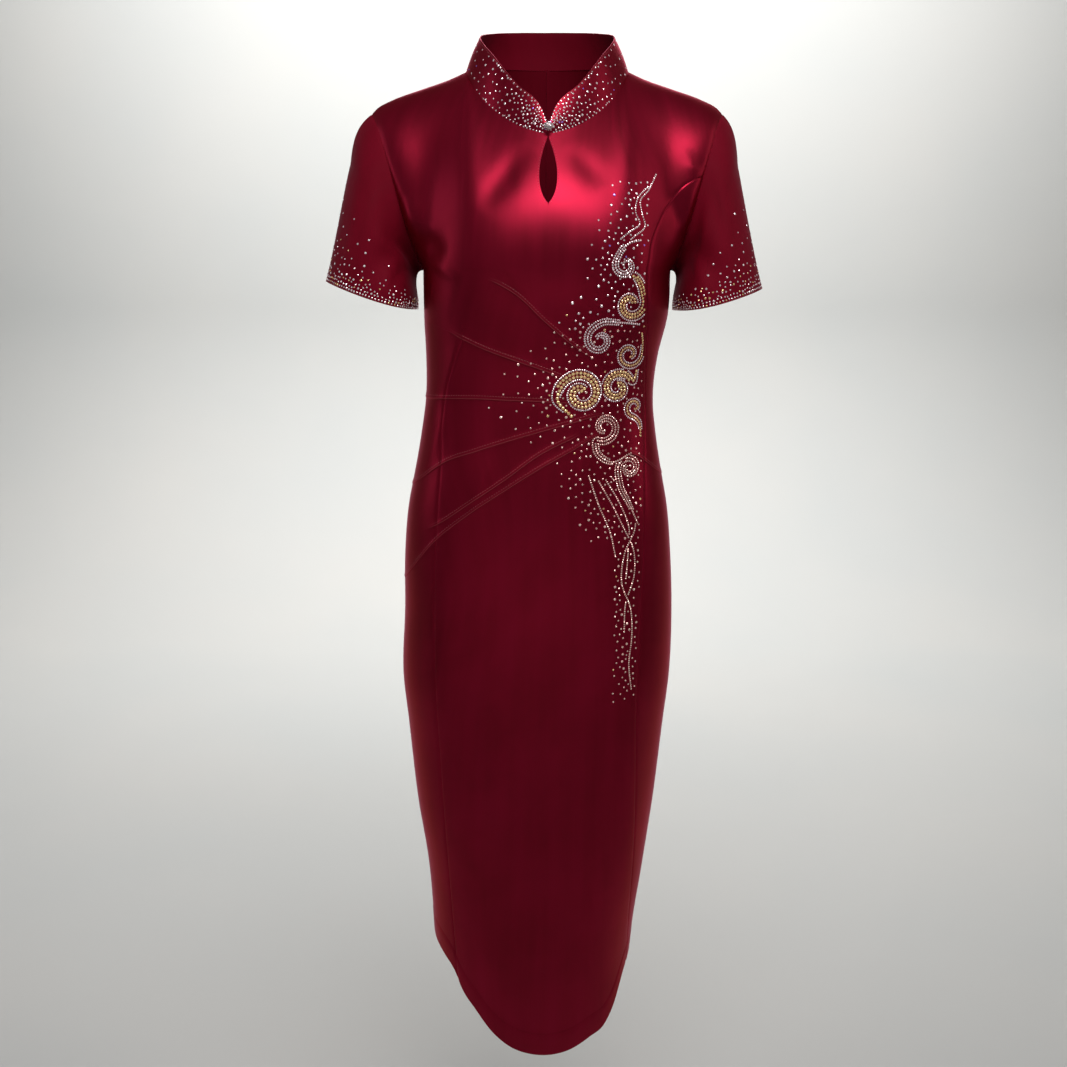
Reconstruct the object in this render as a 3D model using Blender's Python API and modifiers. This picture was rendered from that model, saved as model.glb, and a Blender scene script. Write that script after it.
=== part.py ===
"""Cheongsam dress in its worn, hollow form: front, side fronts, backs, sleeves, collar and ball button.

Metres, Z up, X to the wearer's left, Y to the back. The origin is the centre of the neck's base.
"""

from math import pi, radians

import bmesh
import bpy
import numpy as np
from mathutils import Vector

# Cloth and seams
WALL = 0.0012
SEAM_GAP = 0.0003
SETBACK = SEAM_GAP / 2
SHOULDER_SETBACK = 0.0006
NECK_SETBACK = 0.0006
UNDERARM_SETBACK = 0.0011

# Step for slopes, and how straight a border must run for one move to serve both of its edges
PROBE = 0.0005
STRAIGHT_BORDER = 0.04

# Height of the underarm, where the chest is fullest
UNDERARM_Z = -0.208

# Hem, by place across the width from the wearer's right side seam (-1) to the left (1): place, z
HEM = (
    (-1.00, -1.0260),
    (-0.86, -1.0370),
    (-0.76, -1.0500),
    (-0.70, -1.0680),
    (-0.56, -1.0920),
    (-0.40, -1.1180),
    (-0.25, -1.1340),
    (0.00, -1.1460),
    (0.20, -1.1470),
    (0.35, -1.1435),
    (0.57, -1.1310),
    (0.73, -1.1200),
    (0.81, -1.1030),
    (0.92, -1.0640),
    (1.00, -1.0480),
)

# Roundness of the body's sections, where 2 is an ellipse and more is squarer
ROUNDNESS = 2.35

# Sections of the body from the hem up: height, centre, half width, depth of the front and of the back
SECTIONS = (
    (-1.150, -0.0163, 0.1240, 0.1050, 0.1040),
    (-1.044, -0.0163, 0.1258, 0.1050, 0.1050),
    (-0.929, -0.0124, 0.1357, 0.1050, 0.1080),
    (-0.846, -0.0127, 0.1466, 0.1065, 0.1140),
    (-0.739, -0.0122, 0.1565, 0.1090, 0.1230),
    (-0.686, -0.0118, 0.1615, 0.1105, 0.1290),
    (-0.597, -0.0092, 0.1600, 0.1120, 0.1330),
    (-0.534, -0.0100, 0.1575, 0.1120, 0.1300),
    (-0.473, -0.0100, 0.1513, 0.1100, 0.1190),
    (-0.437, -0.0097, 0.1441, 0.1070, 0.1100),
    (-0.390, -0.0090, 0.1354, 0.1010, 0.0980),
    (-0.355, -0.0082, 0.1308, 0.0990, 0.0930),
    (-0.2975, -0.0050, 0.1326, 0.1070, 0.0940),
    (-0.264, -0.0015, 0.1372, 0.1160, 0.0965),
    (-0.241, 0.0000, 0.1387, 0.1220, 0.0980),
    (-0.208, 0.0000, 0.1385, 0.1270, 0.0985),
    (-0.180, 0.0000, 0.1385, 0.1270, 0.0985),
)

# Neckline on one side, from the front centre (0) over the neck point (1) to the back centre (2), and just
# past both ends so that it runs smoothly into the other side: place, x, y, z
NECKLINE = (
    (-0.14, -0.0200, -0.0825, -0.0682),
    (0.00, 0.0000, -0.0880, -0.0725),
    (0.14, 0.0200, -0.0825, -0.0682),
    (0.34, 0.0440, -0.0680, -0.0557),
    (0.64, 0.0705, -0.0410, -0.0310),
    (1.00, 0.0877, 0.0000, 0.0020),
    (1.30, 0.0780, 0.0300, 0.0120),
    (1.65, 0.0420, 0.0600, 0.0170),
    (2.00, 0.0000, 0.0700, 0.0180),
    (2.35, -0.0420, 0.0600, 0.0170),
)

# Shoulder seam, from the neck point to the shoulder tip: share of its length, x, y, z
SHOULDER = (
    (0.00, 0.0877, 0.0000, 0.0020),
    (0.18, 0.1063, 0.0000, -0.0060),
    (0.45, 0.1350, 0.0000, -0.0155),
    (0.80, 0.1726, 0.0000, -0.0285),
    (0.94, 0.1870, 0.0000, -0.0360),
    (1.00, 0.1930, 0.0000, -0.0420),
)
NECK_POINT = 0.5

# How the cloth above the underarm leaves the chest (a reach up its slope) and arrives at the neckline and
# shoulder (a direction), by share across a half of the body: share, reach, x, y, z
RISE_FRONT = (
    (0.00, 0.150, 0.000, 0.060, 0.125),
    (0.25, 0.170, 0.000, 0.080, 0.120),
    (0.50, 0.220, 0.000, 0.140, 0.070),
    (0.75, 0.190, 0.005, 0.140, 0.050),
    (1.00, 0.160, 0.060, 0.165, 0.080),
)
RISE_BACK = (
    (0.00, 0.240, 0.000, -0.050, 0.210),
    (0.25, 0.240, 0.000, -0.120, 0.150),
    (0.50, 0.230, 0.000, -0.290, 0.030),
    (0.75, 0.200, 0.005, -0.230, 0.035),
    (1.00, 0.160, 0.060, -0.200, 0.080),
)
ARMHOLE_LEAVE = (0.050, 0.165, 0.090)
ARMHOLE_FROM = 0.60

# Keyhole below the neckline, closed at its top edge by the button: z, half width
KEYHOLE = (
    (-0.1450, 0.0000),
    (-0.1400, 0.0040),
    (-0.1300, 0.0078),
    (-0.1180, 0.0088),
    (-0.1050, 0.0078),
    (-0.0900, 0.0046),
    (-0.0760, 0.0006),
    (-0.0720, 0.0006),
)

# Princess seam above the chest: share of the rise, share across the front
PRINCESS_RISE = (
    (0.000, 0.512),
    (0.111, 0.549),
    (0.222, 0.637),
    (0.333, 0.733),
    (0.444, 0.840),
    (0.556, 1.000),
)
# Princess seam below the chest, on the wearer's left: z, x
PRINCESS = (
    (-1.150, 0.1000),
    (-1.000, 0.1025),
    (-0.867, 0.1045),
    (-0.689, 0.1030),
    (-0.549, 0.1070),
    (-0.437, 0.1090),
    (-0.340, 0.1090),
    (-0.283, 0.1074),
    (-0.208, 0.1045),
)
# Side-panel seam on the wearer's right, from the second tuck to the hem: z, x
SIDE_PANEL = (
    (-1.150, -0.1020),
    (-1.086, -0.1060),
    (-0.900, -0.1180),
    (-0.636, -0.1265),
    (-0.515, -0.1238),
    (-0.420, -0.1180),
    (-0.340, -0.1090),
    (-0.282, -0.0900),
)
PANEL_SHARE_AT_NECK = -0.5

# Lines that the rows of the front follow, as heights by place across, -1 at the wearer's right side seam and
# 1 at the left. Each tuck is raised between its two ends.
ACROSS = (-1.0, -0.75, -0.50, -0.25, 0.0, 0.25, 0.50, 0.75, 1.0)
TUCKS = (
    {"z": (-.223, -.220, -.218, -.234, -.264, -.289, -.306, -.308, -.305), "ends": (-0.44, 0.34)},
    {"z": (-.262, -.274, -.290, -.302, -.313, -.325, -.331, -.333, -.330), "ends": (-0.66, 0.30)},
    {"z": (-.349, -.346, -.345, -.346, -.347, -.349, -.351, -.352, -.352), "ends": (-1.00, 0.18)},
    {"z": (-.450, -.417, -.402, -.390, -.380, -.371, -.363, -.365, -.370), "ends": (-1.00, 0.46)},
    {"z": (-.506, -.487, -.458, -.431, -.405, -.388, -.374, -.377, -.387), "ends": (-0.72, 0.24)},
    {"z": (-.563, -.506, -.470, -.443, -.420, -.401, -.384, -.388, -.405), "ends": (-1.00, 0.46)},
    {"z": (-.620, -.588, -.552, -.510, -.472, -.441, -.414, -.407, -.438), "ends": (0.76, 1.00)},
)
TUCK_HEIGHT = 0.0014
TUCK_WIDTH = 0.010
TUCK_STEP = 0.0022
TUCK_FADE = 0.10
TUCK_EDGE = 0.010
ROOM_ABOVE_TUCK = 0.6
ROOM_BELOW_TUCK = 0.2
ROWS_BETWEEN_TUCKS = (2, 0, 2, 3, 1, 1, 1)
LOWEST_TUCK = len(TUCKS) - 1
SIDE_PANEL_TUCK = 1

# Soft folds of the front: start and end in x and z, half width, height above the cloth
FOLDS = (
    {"from": (-0.150, -0.172), "to": (-0.108, -0.196), "width": 0.014, "height": -0.0050},
    {"from": (-0.156, -0.135), "to": (-0.128, -0.172), "width": 0.013, "height": 0.0030},
    {"from": (0.137, -0.128), "to": (0.147, -0.182), "width": 0.012, "height": -0.0035},
    {"from": (0.128, -0.205), "to": (0.122, -0.250), "width": 0.016, "height": -0.0030},
    {"from": (-0.090, -0.262), "to": (-0.136, -0.420), "width": 0.016, "height": 0.0030},
    {"from": (-0.116, -0.480), "to": (-0.124, -0.760), "width": 0.018, "height": 0.0025},
    {"from": (0.092, -0.620), "to": (0.100, -0.980), "width": 0.018, "height": 0.0030},
    {"from": (-0.040, -0.740), "to": (-0.030, -1.080), "width": 0.030, "height": 0.0020},
)
FOLD_EDGE = 0.12
FOLD_TOP = 0.25

# Sleeves: inner and outer point of the hem in x and z, and how far the cap swells out. Then the directions in
# which the cloth leaves the armhole and arrives at the hem, by turn from the underarm (0) to the tip (1).
SLEEVES = {
    "sleeve_right": {"side": -1, "inner": (0.1480, -0.2515), "outer": (0.2498, -0.2200), "swell": 1.25},
    "sleeve_left": {"side": 1, "inner": (0.1455, -0.2525), "outer": (0.2440, -0.2280), "swell": 0.85},
}
SLEEVE_DEPTH = 0.064
SLEEVE_HEM_LEAN = (-0.013, -0.0070)
SLEEVE_LEAVE = (
    (0.00, 0.046, 0.000, 0.008),
    (0.25, 0.060, 0.020, -0.030),
    (0.50, 0.070, 0.020, -0.070),
    (0.75, 0.070, 0.030, -0.110),
    (1.00, 0.075, 0.000, -0.110),
)
SLEEVE_ARRIVE = (
    (0.00, 0.004, 0.000, -0.060),
    (0.50, 0.020, 0.000, -0.150),
    (1.00, 0.062, 0.000, -0.190),
)
CAP_LIFT = 0.0030
CAP_SPAN = 0.3
CAP_REACH = 0.35
SLEEVE_FOLD = {"turn": (0.10, 0.62), "width": 0.10, "height": -0.0060}
SLEEVE_RINGS = 8
SLEEVE_RING_EASE = 0.35

# Top edge of the collar: place round the neckline, 0 at the front centre, 1 at the neck points, 2 at the back
COLLAR_TOP = (
    (0.00, 0.0012, -0.0885, -0.0640),
    (0.10, 0.0075, -0.0840, -0.0470),
    (0.34, 0.0316, -0.0690, -0.0225),
    (0.64, 0.0560, -0.0440, 0.0090),
    (1.00, 0.0725, 0.0000, 0.0370),
    (1.35, 0.0590, 0.0360, 0.0490),
    (1.70, 0.0310, 0.0585, 0.0550),
    (2.00, 0.0000, 0.0650, 0.0565),
    (2.30, -0.0310, 0.0585, 0.0550),
)
COLLAR_END_GAP = 0.0006
COLLAR_LIFT = 0.0007
COLLAR_BOW = 0.0012
COLLAR_RISES = (0.0, 0.35, 0.7, 1.0)

BUTTON_RADIUS = 0.0048
BUTTON_HEIGHT = -0.0672
BUTTON_CLEARANCE = 0.0006
BUTTON_SEGMENTS = 16
BUTTON_RINGS = 10

# Counts of rows and columns
RISE_ROWS = 9
PRINCESS_TOP_ROW = 5
SKIRT_ROWS = 12
WING_COLUMNS = 4
CENTRE_COLUMNS = 5
RIGHT_COLUMNS = (0.0, 0.1, 0.2, 0.3, 0.4, 0.5, 0.625, 0.75, 0.875, 1.0)
SIDE_COLUMNS = 5
BACK_COLUMNS = (0.0, 0.1, 0.2, 0.3, 0.4, 0.5, 0.625, 0.75, 0.875, 1.0)

# Steps that find a seam's share in a row of the front
SEAM_STEPS = 12

# Colours as linear red, green, blue, with their roughness, and the angle from which an edge is sharp
WINE_SATIN = (0.330, 0.004, 0.024)
WINE_TRIM = (0.360, 0.006, 0.030)
CRYSTAL = (0.760, 0.700, 0.700)
SATIN_ROUGHNESS = 0.42
CRYSTAL_ROUGHNESS = 0.15
SHARP_EDGE = radians(50)

FRONT = -1
BACK = 1


def read(table, at):
    """Read a table at values of its first column, with smooth cubic steps between its rows."""
    rows = np.array(table, dtype=float)
    key, values = rows[:, 0], rows[:, 1:]
    slope = np.gradient(values, key, axis=0)
    at = np.clip(np.asarray(at, dtype=float), key[0], key[-1])
    low = np.clip(np.searchsorted(key, at, side="right") - 1, 0, len(key) - 2)
    span = (key[low + 1] - key[low])[..., None]
    f = (at - key[low])[..., None] / span
    return hermite(values[low], values[low + 1], slope[low] * span, slope[low + 1] * span, f)


def hermite(start, end, leave, arrive, f):
    """Cubic curve between two points with its direction at each."""
    return ((2 * f**3 - 3 * f**2 + 1) * start + (f**3 - 2 * f**2 + f) * leave
            + (3 * f**2 - 2 * f**3) * end + (f**3 - f**2) * arrive)


def ease(f):
    """Smooth step from 0 to 1."""
    f = np.clip(f, 0.0, 1.0)
    return f * f * (3 - 2 * f)


def tube(share, z, side):
    """Points of the body below the underarm; share runs -1 to 1 from side seam to side seam of one half."""
    section = read(SECTIONS, z)
    depth = section[..., 2] if side == FRONT else section[..., 3]
    turn = share * pi / 2
    across = np.sign(share) * np.abs(np.sin(turn)) ** (2 / ROUNDNESS)
    out = np.clip(np.cos(turn), 0.0, 1.0) ** (2 / ROUNDNESS)
    return np.stack([section[..., 0] + section[..., 1] * across, side * depth * out, z + 0 * share], axis=-1)


def top_edge(share, side):
    """Points of the neckline and the shoulder seams, by share across one half of the body."""
    size = np.abs(share)
    place = size / NECK_POINT
    neck = read(NECKLINE, place if side == FRONT else 2 - place)
    shoulder = read(SHOULDER, (size - NECK_POINT) / (1 - NECK_POINT))
    edge = np.where((size <= NECK_POINT)[..., None], neck, shoulder)
    return edge * mirror_of(share)


def mirror_of(share):
    """Factors that mirror a point to the side of the body that a share is on."""
    flip = np.where(share < 0, -1.0, 1.0)
    return np.stack([flip, np.ones_like(flip), np.ones_like(flip)], axis=-1)


def yoke(share, rise, side):
    """Points of the body above the underarm; rise runs 0 at the chest to 1 at the neckline and shoulder."""
    share, rise = np.broadcast_arrays(np.asarray(share, float), np.asarray(rise, float))
    size = np.abs(share)
    flip = mirror_of(share)
    chest_z = np.full(share.shape, UNDERARM_Z)
    chest = tube(share, chest_z, side)
    slope = (tube(share, chest_z + PROBE, side) - tube(share, chest_z - PROBE, side)) / (2 * PROBE)
    shape = read(RISE_FRONT if side == FRONT else RISE_BACK, size)
    near_arm = ease((size - ARMHOLE_FROM) / (1 - ARMHOLE_FROM))[..., None]
    leave = slope * shape[..., :1] * (1 - near_arm)
    leave = leave + near_arm * flip * np.array(ARMHOLE_LEAVE) * np.array((1, side, 1))
    return hermite(chest, top_edge(share, side), leave, shape[..., 1:] * flip, rise[..., None])


def across_of(share):
    """Place across the width, -1 to 1, of a share."""
    return np.sign(share) * np.abs(np.sin(share * pi / 2)) ** (2 / ROUNDNESS)


def share_of_x(x, z):
    """Share across the body of a place in x at a height below the underarm."""
    section = read(SECTIONS, z)
    across = np.clip((x - section[..., 0]) / section[..., 1], -1.0, 1.0)
    return np.sign(across) * np.arcsin(np.abs(across) ** (ROUNDNESS / 2)) * 2 / pi


def tuck_line(index, across):
    """Height of a tuck's fold edge at places across the front."""
    return read(list(zip(ACROSS, TUCKS[index]["z"])), across)[..., 0]


def hem_line(across):
    """Height of the hem at places across the front or back."""
    return read(HEM, across)[..., 0]


def tuck_relief(across, z):
    """Height of the tucks above the cloth: a slow rise to the fold edge and a short step below it."""
    relief = np.zeros_like(z)
    for index, tuck in enumerate(TUCKS):
        start, end = tuck["ends"]
        present = ease((across - start) / TUCK_FADE + 1) * ease((end - across) / TUCK_FADE + 1)
        above = z - tuck_line(index, across)
        lip = np.where(above >= 0, ease(1 - above / TUCK_WIDTH), ease(1 + above / TUCK_STEP))
        relief = np.maximum(relief, TUCK_HEIGHT * lip * present)
    return relief


def fold_relief(x, z):
    """Height of the soft folds at places of the front."""
    relief = np.zeros_like(z)
    for fold in FOLDS:
        start, end = np.array(fold["from"]), np.array(fold["to"])
        along = end - start
        length = np.hypot(*along)
        offset = np.stack([x, z], axis=-1) - start
        share = offset @ along / length**2
        aside = (offset[..., 0] * along[1] - offset[..., 1] * along[0]) / length
        relief += fold["height"] * np.sin(pi * np.clip(share, 0, 1)) * np.exp(-(aside / fold["width"]) ** 2)
    return relief


def with_relief(surface, share, up, side):
    """Points of a surface moved out by its tucks and folds, which fade towards the side seams."""
    base = surface(share, up)
    if side == BACK:
        return base
    wide = surface(np.clip(share + PROBE, -1, 1), up) - surface(np.clip(share - PROBE, -1, 1), up)
    high = surface(share, up + PROBE) - surface(share, up - PROBE)
    normal = np.cross(wide, high)
    normal /= np.linalg.norm(normal, axis=-1, keepdims=True)
    edge = ease((1 - np.abs(share)) / FOLD_EDGE)
    relief = fold_relief(base[..., 0], base[..., 2]) * edge
    if surface is front_tube:
        relief = relief + tuck_relief(across_of(share), up) * ease((1 - np.abs(share)) / TUCK_EDGE)
    else:
        relief = relief * ease((1 - up) / FOLD_TOP)
    return base + normal * relief[..., None]


def front_tube(share, z):
    """Front of the body below the underarm, without relief."""
    return tube(share, z, FRONT)


def front_yoke(share, rise):
    """Front of the body above the underarm, without relief."""
    return yoke(share, rise, FRONT)


def princess_share(rise):
    """Share across the front of the princess seam above the chest."""
    return read(PRINCESS_RISE, rise)[..., 0]


def seam_share(table, z):
    """Share across the front of a seam that is given by x at heights."""
    return share_of_x(read(table, z)[..., 0], z)


def front_rows():
    """Rows of the front from the shoulder down, as a place and a function that gives a height across."""
    rows = [("yoke", 1 - i / RISE_ROWS) for i in range(RISE_ROWS)]
    rows.append(("tube", lambda across: UNDERARM_Z + 0 * across))
    low_edge = rows[-1][1]
    for index, between in enumerate(ROWS_BETWEEN_TUCKS):
        line = tuck_row(index, 0.0)
        above = tuck_row(index, TUCK_WIDTH)
        below = tuck_row(index, -TUCK_STEP)
        for i in range(between):
            rows.append(("tube", blend_rows(low_edge, above, (i + 1) / (between + 1))))
        rows += [("tube", above), ("line", line), ("tube", below)]
        low_edge = below
    for i in range(SKIRT_ROWS):
        rows.append(("tube", blend_rows(low_edge, hem_line, (i + 1) / SKIRT_ROWS)))
    return rows


def tuck_row(index, offset):
    """A row along a tuck, offset up or down by at most a third of the way to the next tuck."""
    def height(across):
        here = tuck_line(index, across)
        if offset == 0:
            return here
        near = index - 1 if offset > 0 else index + 1
        if near < 0:
            room = UNDERARM_Z - here
        elif near > LOWEST_TUCK:
            room = here - hem_line(across)
        else:
            room = np.abs(tuck_line(near, across) - here)
        share = ROOM_ABOVE_TUCK if offset > 0 else ROOM_BELOW_TUCK
        return here + np.sign(offset) * np.minimum(abs(offset), share * room)
    return height


def blend_rows(upper, lower, share):
    """A row part of the way from an upper row to a lower one."""
    return lambda across: upper(across) * (1 - share) + lower(across) * share


class Sheet:
    """An open sheet of cloth, gathered cell by cell from keyed points."""

    def __init__(self):
        self.points = {}
        self.setbacks = {}
        self.cells = []

    def add_cell(self, *keys):
        """Add a face by the keys of its corners, leaving out a corner that repeats."""
        kept = list(dict.fromkeys(keys))
        if len(kept) > 2:
            self.cells.append(kept)

    def mesh(self, name):
        """Make the mesh, with its border moved in by the set-back of each point."""
        bm = bmesh.new()
        used = dict.fromkeys(key for cell in self.cells for key in cell)
        verts = {key: bm.verts.new(self.points[key]) for key in used}
        for cell in self.cells:
            bm.faces.new([verts[key] for key in cell])
        bm.normal_update()
        reach = {verts[key]: self.setbacks.get(key, SETBACK) for key in used}
        moves = {vert: border_move(vert, reach) for vert in bm.verts if vert.is_boundary}
        for vert, move in moves.items():
            vert.co += move
        mesh = bpy.data.meshes.new(name)
        bm.to_mesh(mesh)
        bm.free()
        return mesh


def border_move(vert, reach):
    """Move of a border point that sets back both of its border edges over the surface."""
    pulls = []
    for edge in vert.link_edges:
        if edge.is_boundary:
            face = edge.link_faces[0]
            start, end = (corner.co for corner in edge.verts)
            inward = face.normal.cross(end - start).normalized()
            if inward.dot(face.calc_center_median() - (start + end) / 2) < 0:
                inward.negate()
            pulls.append((inward, max(reach[corner] for corner in edge.verts)))
    (first, first_reach), (second, second_reach) = pulls
    lean = first.dot(second)
    room = 1 - lean * lean
    if room < STRAIGHT_BORDER:
        return (first + second).normalized() * (first_reach + second_reach) / 2
    part_first = (first_reach - lean * second_reach) / room
    part_second = (second_reach - lean * first_reach) / room
    return first * part_first + second * part_second


def satin(name, colour, roughness):
    """Principled material in one colour."""
    material = bpy.data.materials.new(name)
    material.use_nodes = True
    shader = material.node_tree.nodes["Principled BSDF"]
    shader.inputs["Base Color"].default_value = (*colour, 1.0)
    shader.inputs["Roughness"].default_value = roughness
    shader.inputs["Metallic"].default_value = 0.0
    return material


def add_object(name, mesh, material, collection):
    """Link a mesh as a named object with its own material."""
    mesh.materials.append(material)
    mesh.shade_smooth()
    mesh.set_sharp_from_angle(angle=SHARP_EDGE)
    thing = bpy.data.objects.new(name, mesh)
    collection.objects.link(thing)
    return thing


def add_cloth(name, sheet, collection, colour=WINE_SATIN):
    """Link a sheet as a cloth wall, thickened equally to both sides."""
    thing = add_object(name, sheet.mesh(name), satin(name + "_satin", colour, SATIN_ROUGHNESS), collection)
    wall = thing.modifiers.new("wall", "SOLIDIFY")
    wall.thickness = WALL
    wall.offset = 0.0
    wall.use_even_offset = True
    wall.use_rim = True
    return thing


def place_row(sheet, row, shares, side, kind, height, labels):
    """Add one row of a body panel to a sheet."""
    shares = np.asarray(shares, float)
    if kind == "yoke":
        rise = np.full(shares.shape, height)
        if side == FRONT:
            points = with_relief(front_yoke, shares, rise, side)
        else:
            points = yoke(shares, rise, side)
    else:
        z = height(across_of(shares))
        points = with_relief(front_tube, shares, z, side) if side == FRONT else tube(shares, z, side)
    top = kind == "yoke" and height == 1
    for label, share, point in zip(labels, shares, points):
        sheet.points[row, label] = Vector(point)
        if top:
            sheet.setbacks[row, label] = NECK_SETBACK if abs(share) <= NECK_POINT else SHOULDER_SETBACK
        elif abs(share) > 0.999 and kind == "yoke":
            sheet.setbacks[row, label] = armhole_setback(height)


def armhole_setback(rise):
    """Set-back at the armhole, wider towards the underarm, where the sleeve turns back."""
    return SHOULDER_SETBACK + (UNDERARM_SETBACK - SHOULDER_SETBACK) * (1 - rise) ** 3


def left_limit(kind, height):
    """Shares of the side-panel line and the princess line for one row of the front."""
    if kind == "yoke":
        panel = seam_share(SIDE_PANEL, np.array(SIDE_PANEL[-1][0]))
        panel = panel * (1 - height) + PANEL_SHARE_AT_NECK * height
        princess = princess_share(height) if height <= PRINCESS_RISE[-1][0] else np.array(1.0)
        return float(panel), float(princess)
    panel, princess = -0.5, 0.6
    for _ in range(SEAM_STEPS):
        panel = float(seam_share(SIDE_PANEL, height(across_of(np.array(panel)))))
        princess = float(seam_share(PRINCESS, height(across_of(np.array(princess)))))
    return panel, princess


def build_front(collection):
    """Front panel and both side fronts, on the same rows."""
    front, left, right = Sheet(), Sheet(), Sheet()
    rows = front_rows()
    corner_row = [kind for kind, _ in rows].index("line") + tuck_rows_before(SIDE_PANEL_TUCK)
    wing = [f"w{i}" for i in range(WING_COLUMNS)]
    centre = [f"c{i}" for i in range(CENTRE_COLUMNS)]
    first_left_row = RISE_ROWS - PRINCESS_TOP_ROW
    for row, (kind, height) in enumerate(rows):
        panel, princess = left_limit(kind, height)
        wing_shares = [-1 + (panel + 1) * i / WING_COLUMNS for i in range(WING_COLUMNS)]
        centre_shares = [panel * (1 - i / CENTRE_COLUMNS) for i in range(CENTRE_COLUMNS)]
        right_shares = [princess * f for f in RIGHT_COLUMNS]
        right_names = [f"r{i}" for i in range(len(right_shares))]
        place_row(front, row, wing_shares + centre_shares + right_shares, FRONT, kind, height,
                  wing + centre + right_names)
        place_row(right, row, wing_shares + [panel], FRONT, kind, height, wing + ["c0"])
        side_shares = [princess + (1 - princess) * i / SIDE_COLUMNS for i in range(SIDE_COLUMNS + 1)]
        place_row(left, row, side_shares, FRONT, kind, height, [f"s{i}" for i in range(SIDE_COLUMNS + 1)])
        split_keyhole(front, row)
    columns = wing + centre + right_names
    for row in range(len(rows) - 1):
        for column, name in enumerate(columns[:-1]):
            if name in wing and row >= corner_row:
                continue
            front.add_cell((row, name), (row, columns[column + 1]), (row + 1, columns[column + 1]),
                           (row + 1, name))
        if row >= corner_row:
            names = wing + ["c0"]
            for a, b in zip(names, names[1:]):
                right.add_cell((row, a), (row, b), (row + 1, b), (row + 1, a))
        if row >= first_left_row:
            for i in range(SIDE_COLUMNS):
                upper = ((row, f"s{i}"), (row, f"s{i + 1}"))
                if row == first_left_row:
                    upper = ((row, "s0"), (row, "s0"))
                left.add_cell(upper[0], upper[1], (row + 1, f"s{i + 1}"), (row + 1, f"s{i}"))
    open_keyhole(front)
    add_cloth("front_panel", front, collection)
    add_cloth("side_front_left", left, collection)
    add_cloth("side_front_right", right, collection)
    return rows


def tuck_rows_before(tuck):
    """Number of rows from the first tuck's line to another tuck's line."""
    return sum(ROWS_BETWEEN_TUCKS[1:tuck + 1]) + 3 * tuck


def split_keyhole(sheet, row):
    """Give the centre point of a row a left and a right copy, as far apart as the keyhole is there."""
    centre = sheet.points[row, "r0"]
    half = float(read(KEYHOLE, np.array(centre.z))[0]) if centre.z > KEYHOLE[0][0] else 0.0
    if half > 0:
        for name, side in (("left", 1), ("right", -1)):
            sheet.points[row, name] = centre + Vector((side * half, 0, 0))
            if (row, "r0") in sheet.setbacks:
                sheet.setbacks[row, name] = sheet.setbacks[row, "r0"]


def open_keyhole(sheet):
    """Let the cells beside the keyhole use the copies of its points."""
    for cell in sheet.cells:
        on_left = any(name == "r1" for _, name in cell)
        for i, (row, name) in enumerate(cell):
            if name == "r0" and (row, "left") in sheet.points:
                cell[i] = (row, "left" if on_left else "right")


def build_back(collection, rows):
    """Both halves of the back, on those rows of the front that are not a tuck's lips."""
    left, right = Sheet(), Sheet()
    line_rows = [i for i, (kind, _) in enumerate(rows) if kind == "line"]
    lips = {i + step for i in line_rows for step in (-1, 1)}
    kept = [row for i, row in enumerate(rows) if i not in lips]
    for row, (kind, height) in enumerate(kept):
        for sheet, side in ((left, 1), (right, -1)):
            shares = [side * f for f in BACK_COLUMNS]
            level = height if kind == "yoke" else back_row(height)
            place_row(sheet, row, shares, BACK, kind, level, range(len(shares)))
            if row:
                for i in range(len(shares) - 1):
                    sheet.add_cell((row - 1, i), (row - 1, i + 1), (row, i + 1), (row, i))
    add_cloth("back_left", left, collection)
    add_cloth("back_right", right, collection)


def back_row(front_row):
    """A back row that meets a front row at both side seams."""
    ends = [float(front_row(np.array(end))) for end in (-1.0, 1.0)]
    hem_ends = [HEM[0][1], HEM[-1][1]]
    droop = ((UNDERARM_Z - sum(ends) / 2) / (UNDERARM_Z - sum(hem_ends) / 2)) ** 2

    def height(across):
        turn = ease((across + 1) / 2)
        level = ends[0] + (ends[1] - ends[0]) * turn
        hem_level = hem_ends[0] + (hem_ends[1] - hem_ends[0]) * turn
        return level + droop * (hem_line(across) - hem_level)
    return height


def armhole(turn, side):
    """Points of the armhole by turn: 0 underarm, 1 shoulder tip by the front, 2 underarm by the back."""
    front = yoke(np.full(turn.shape, float(side)), np.clip(turn, 0, 1), FRONT)
    back = yoke(np.full(turn.shape, float(side)), np.clip(2 - turn, 0, 1), BACK)
    return np.where((turn <= 1)[..., None], front, back)


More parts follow.
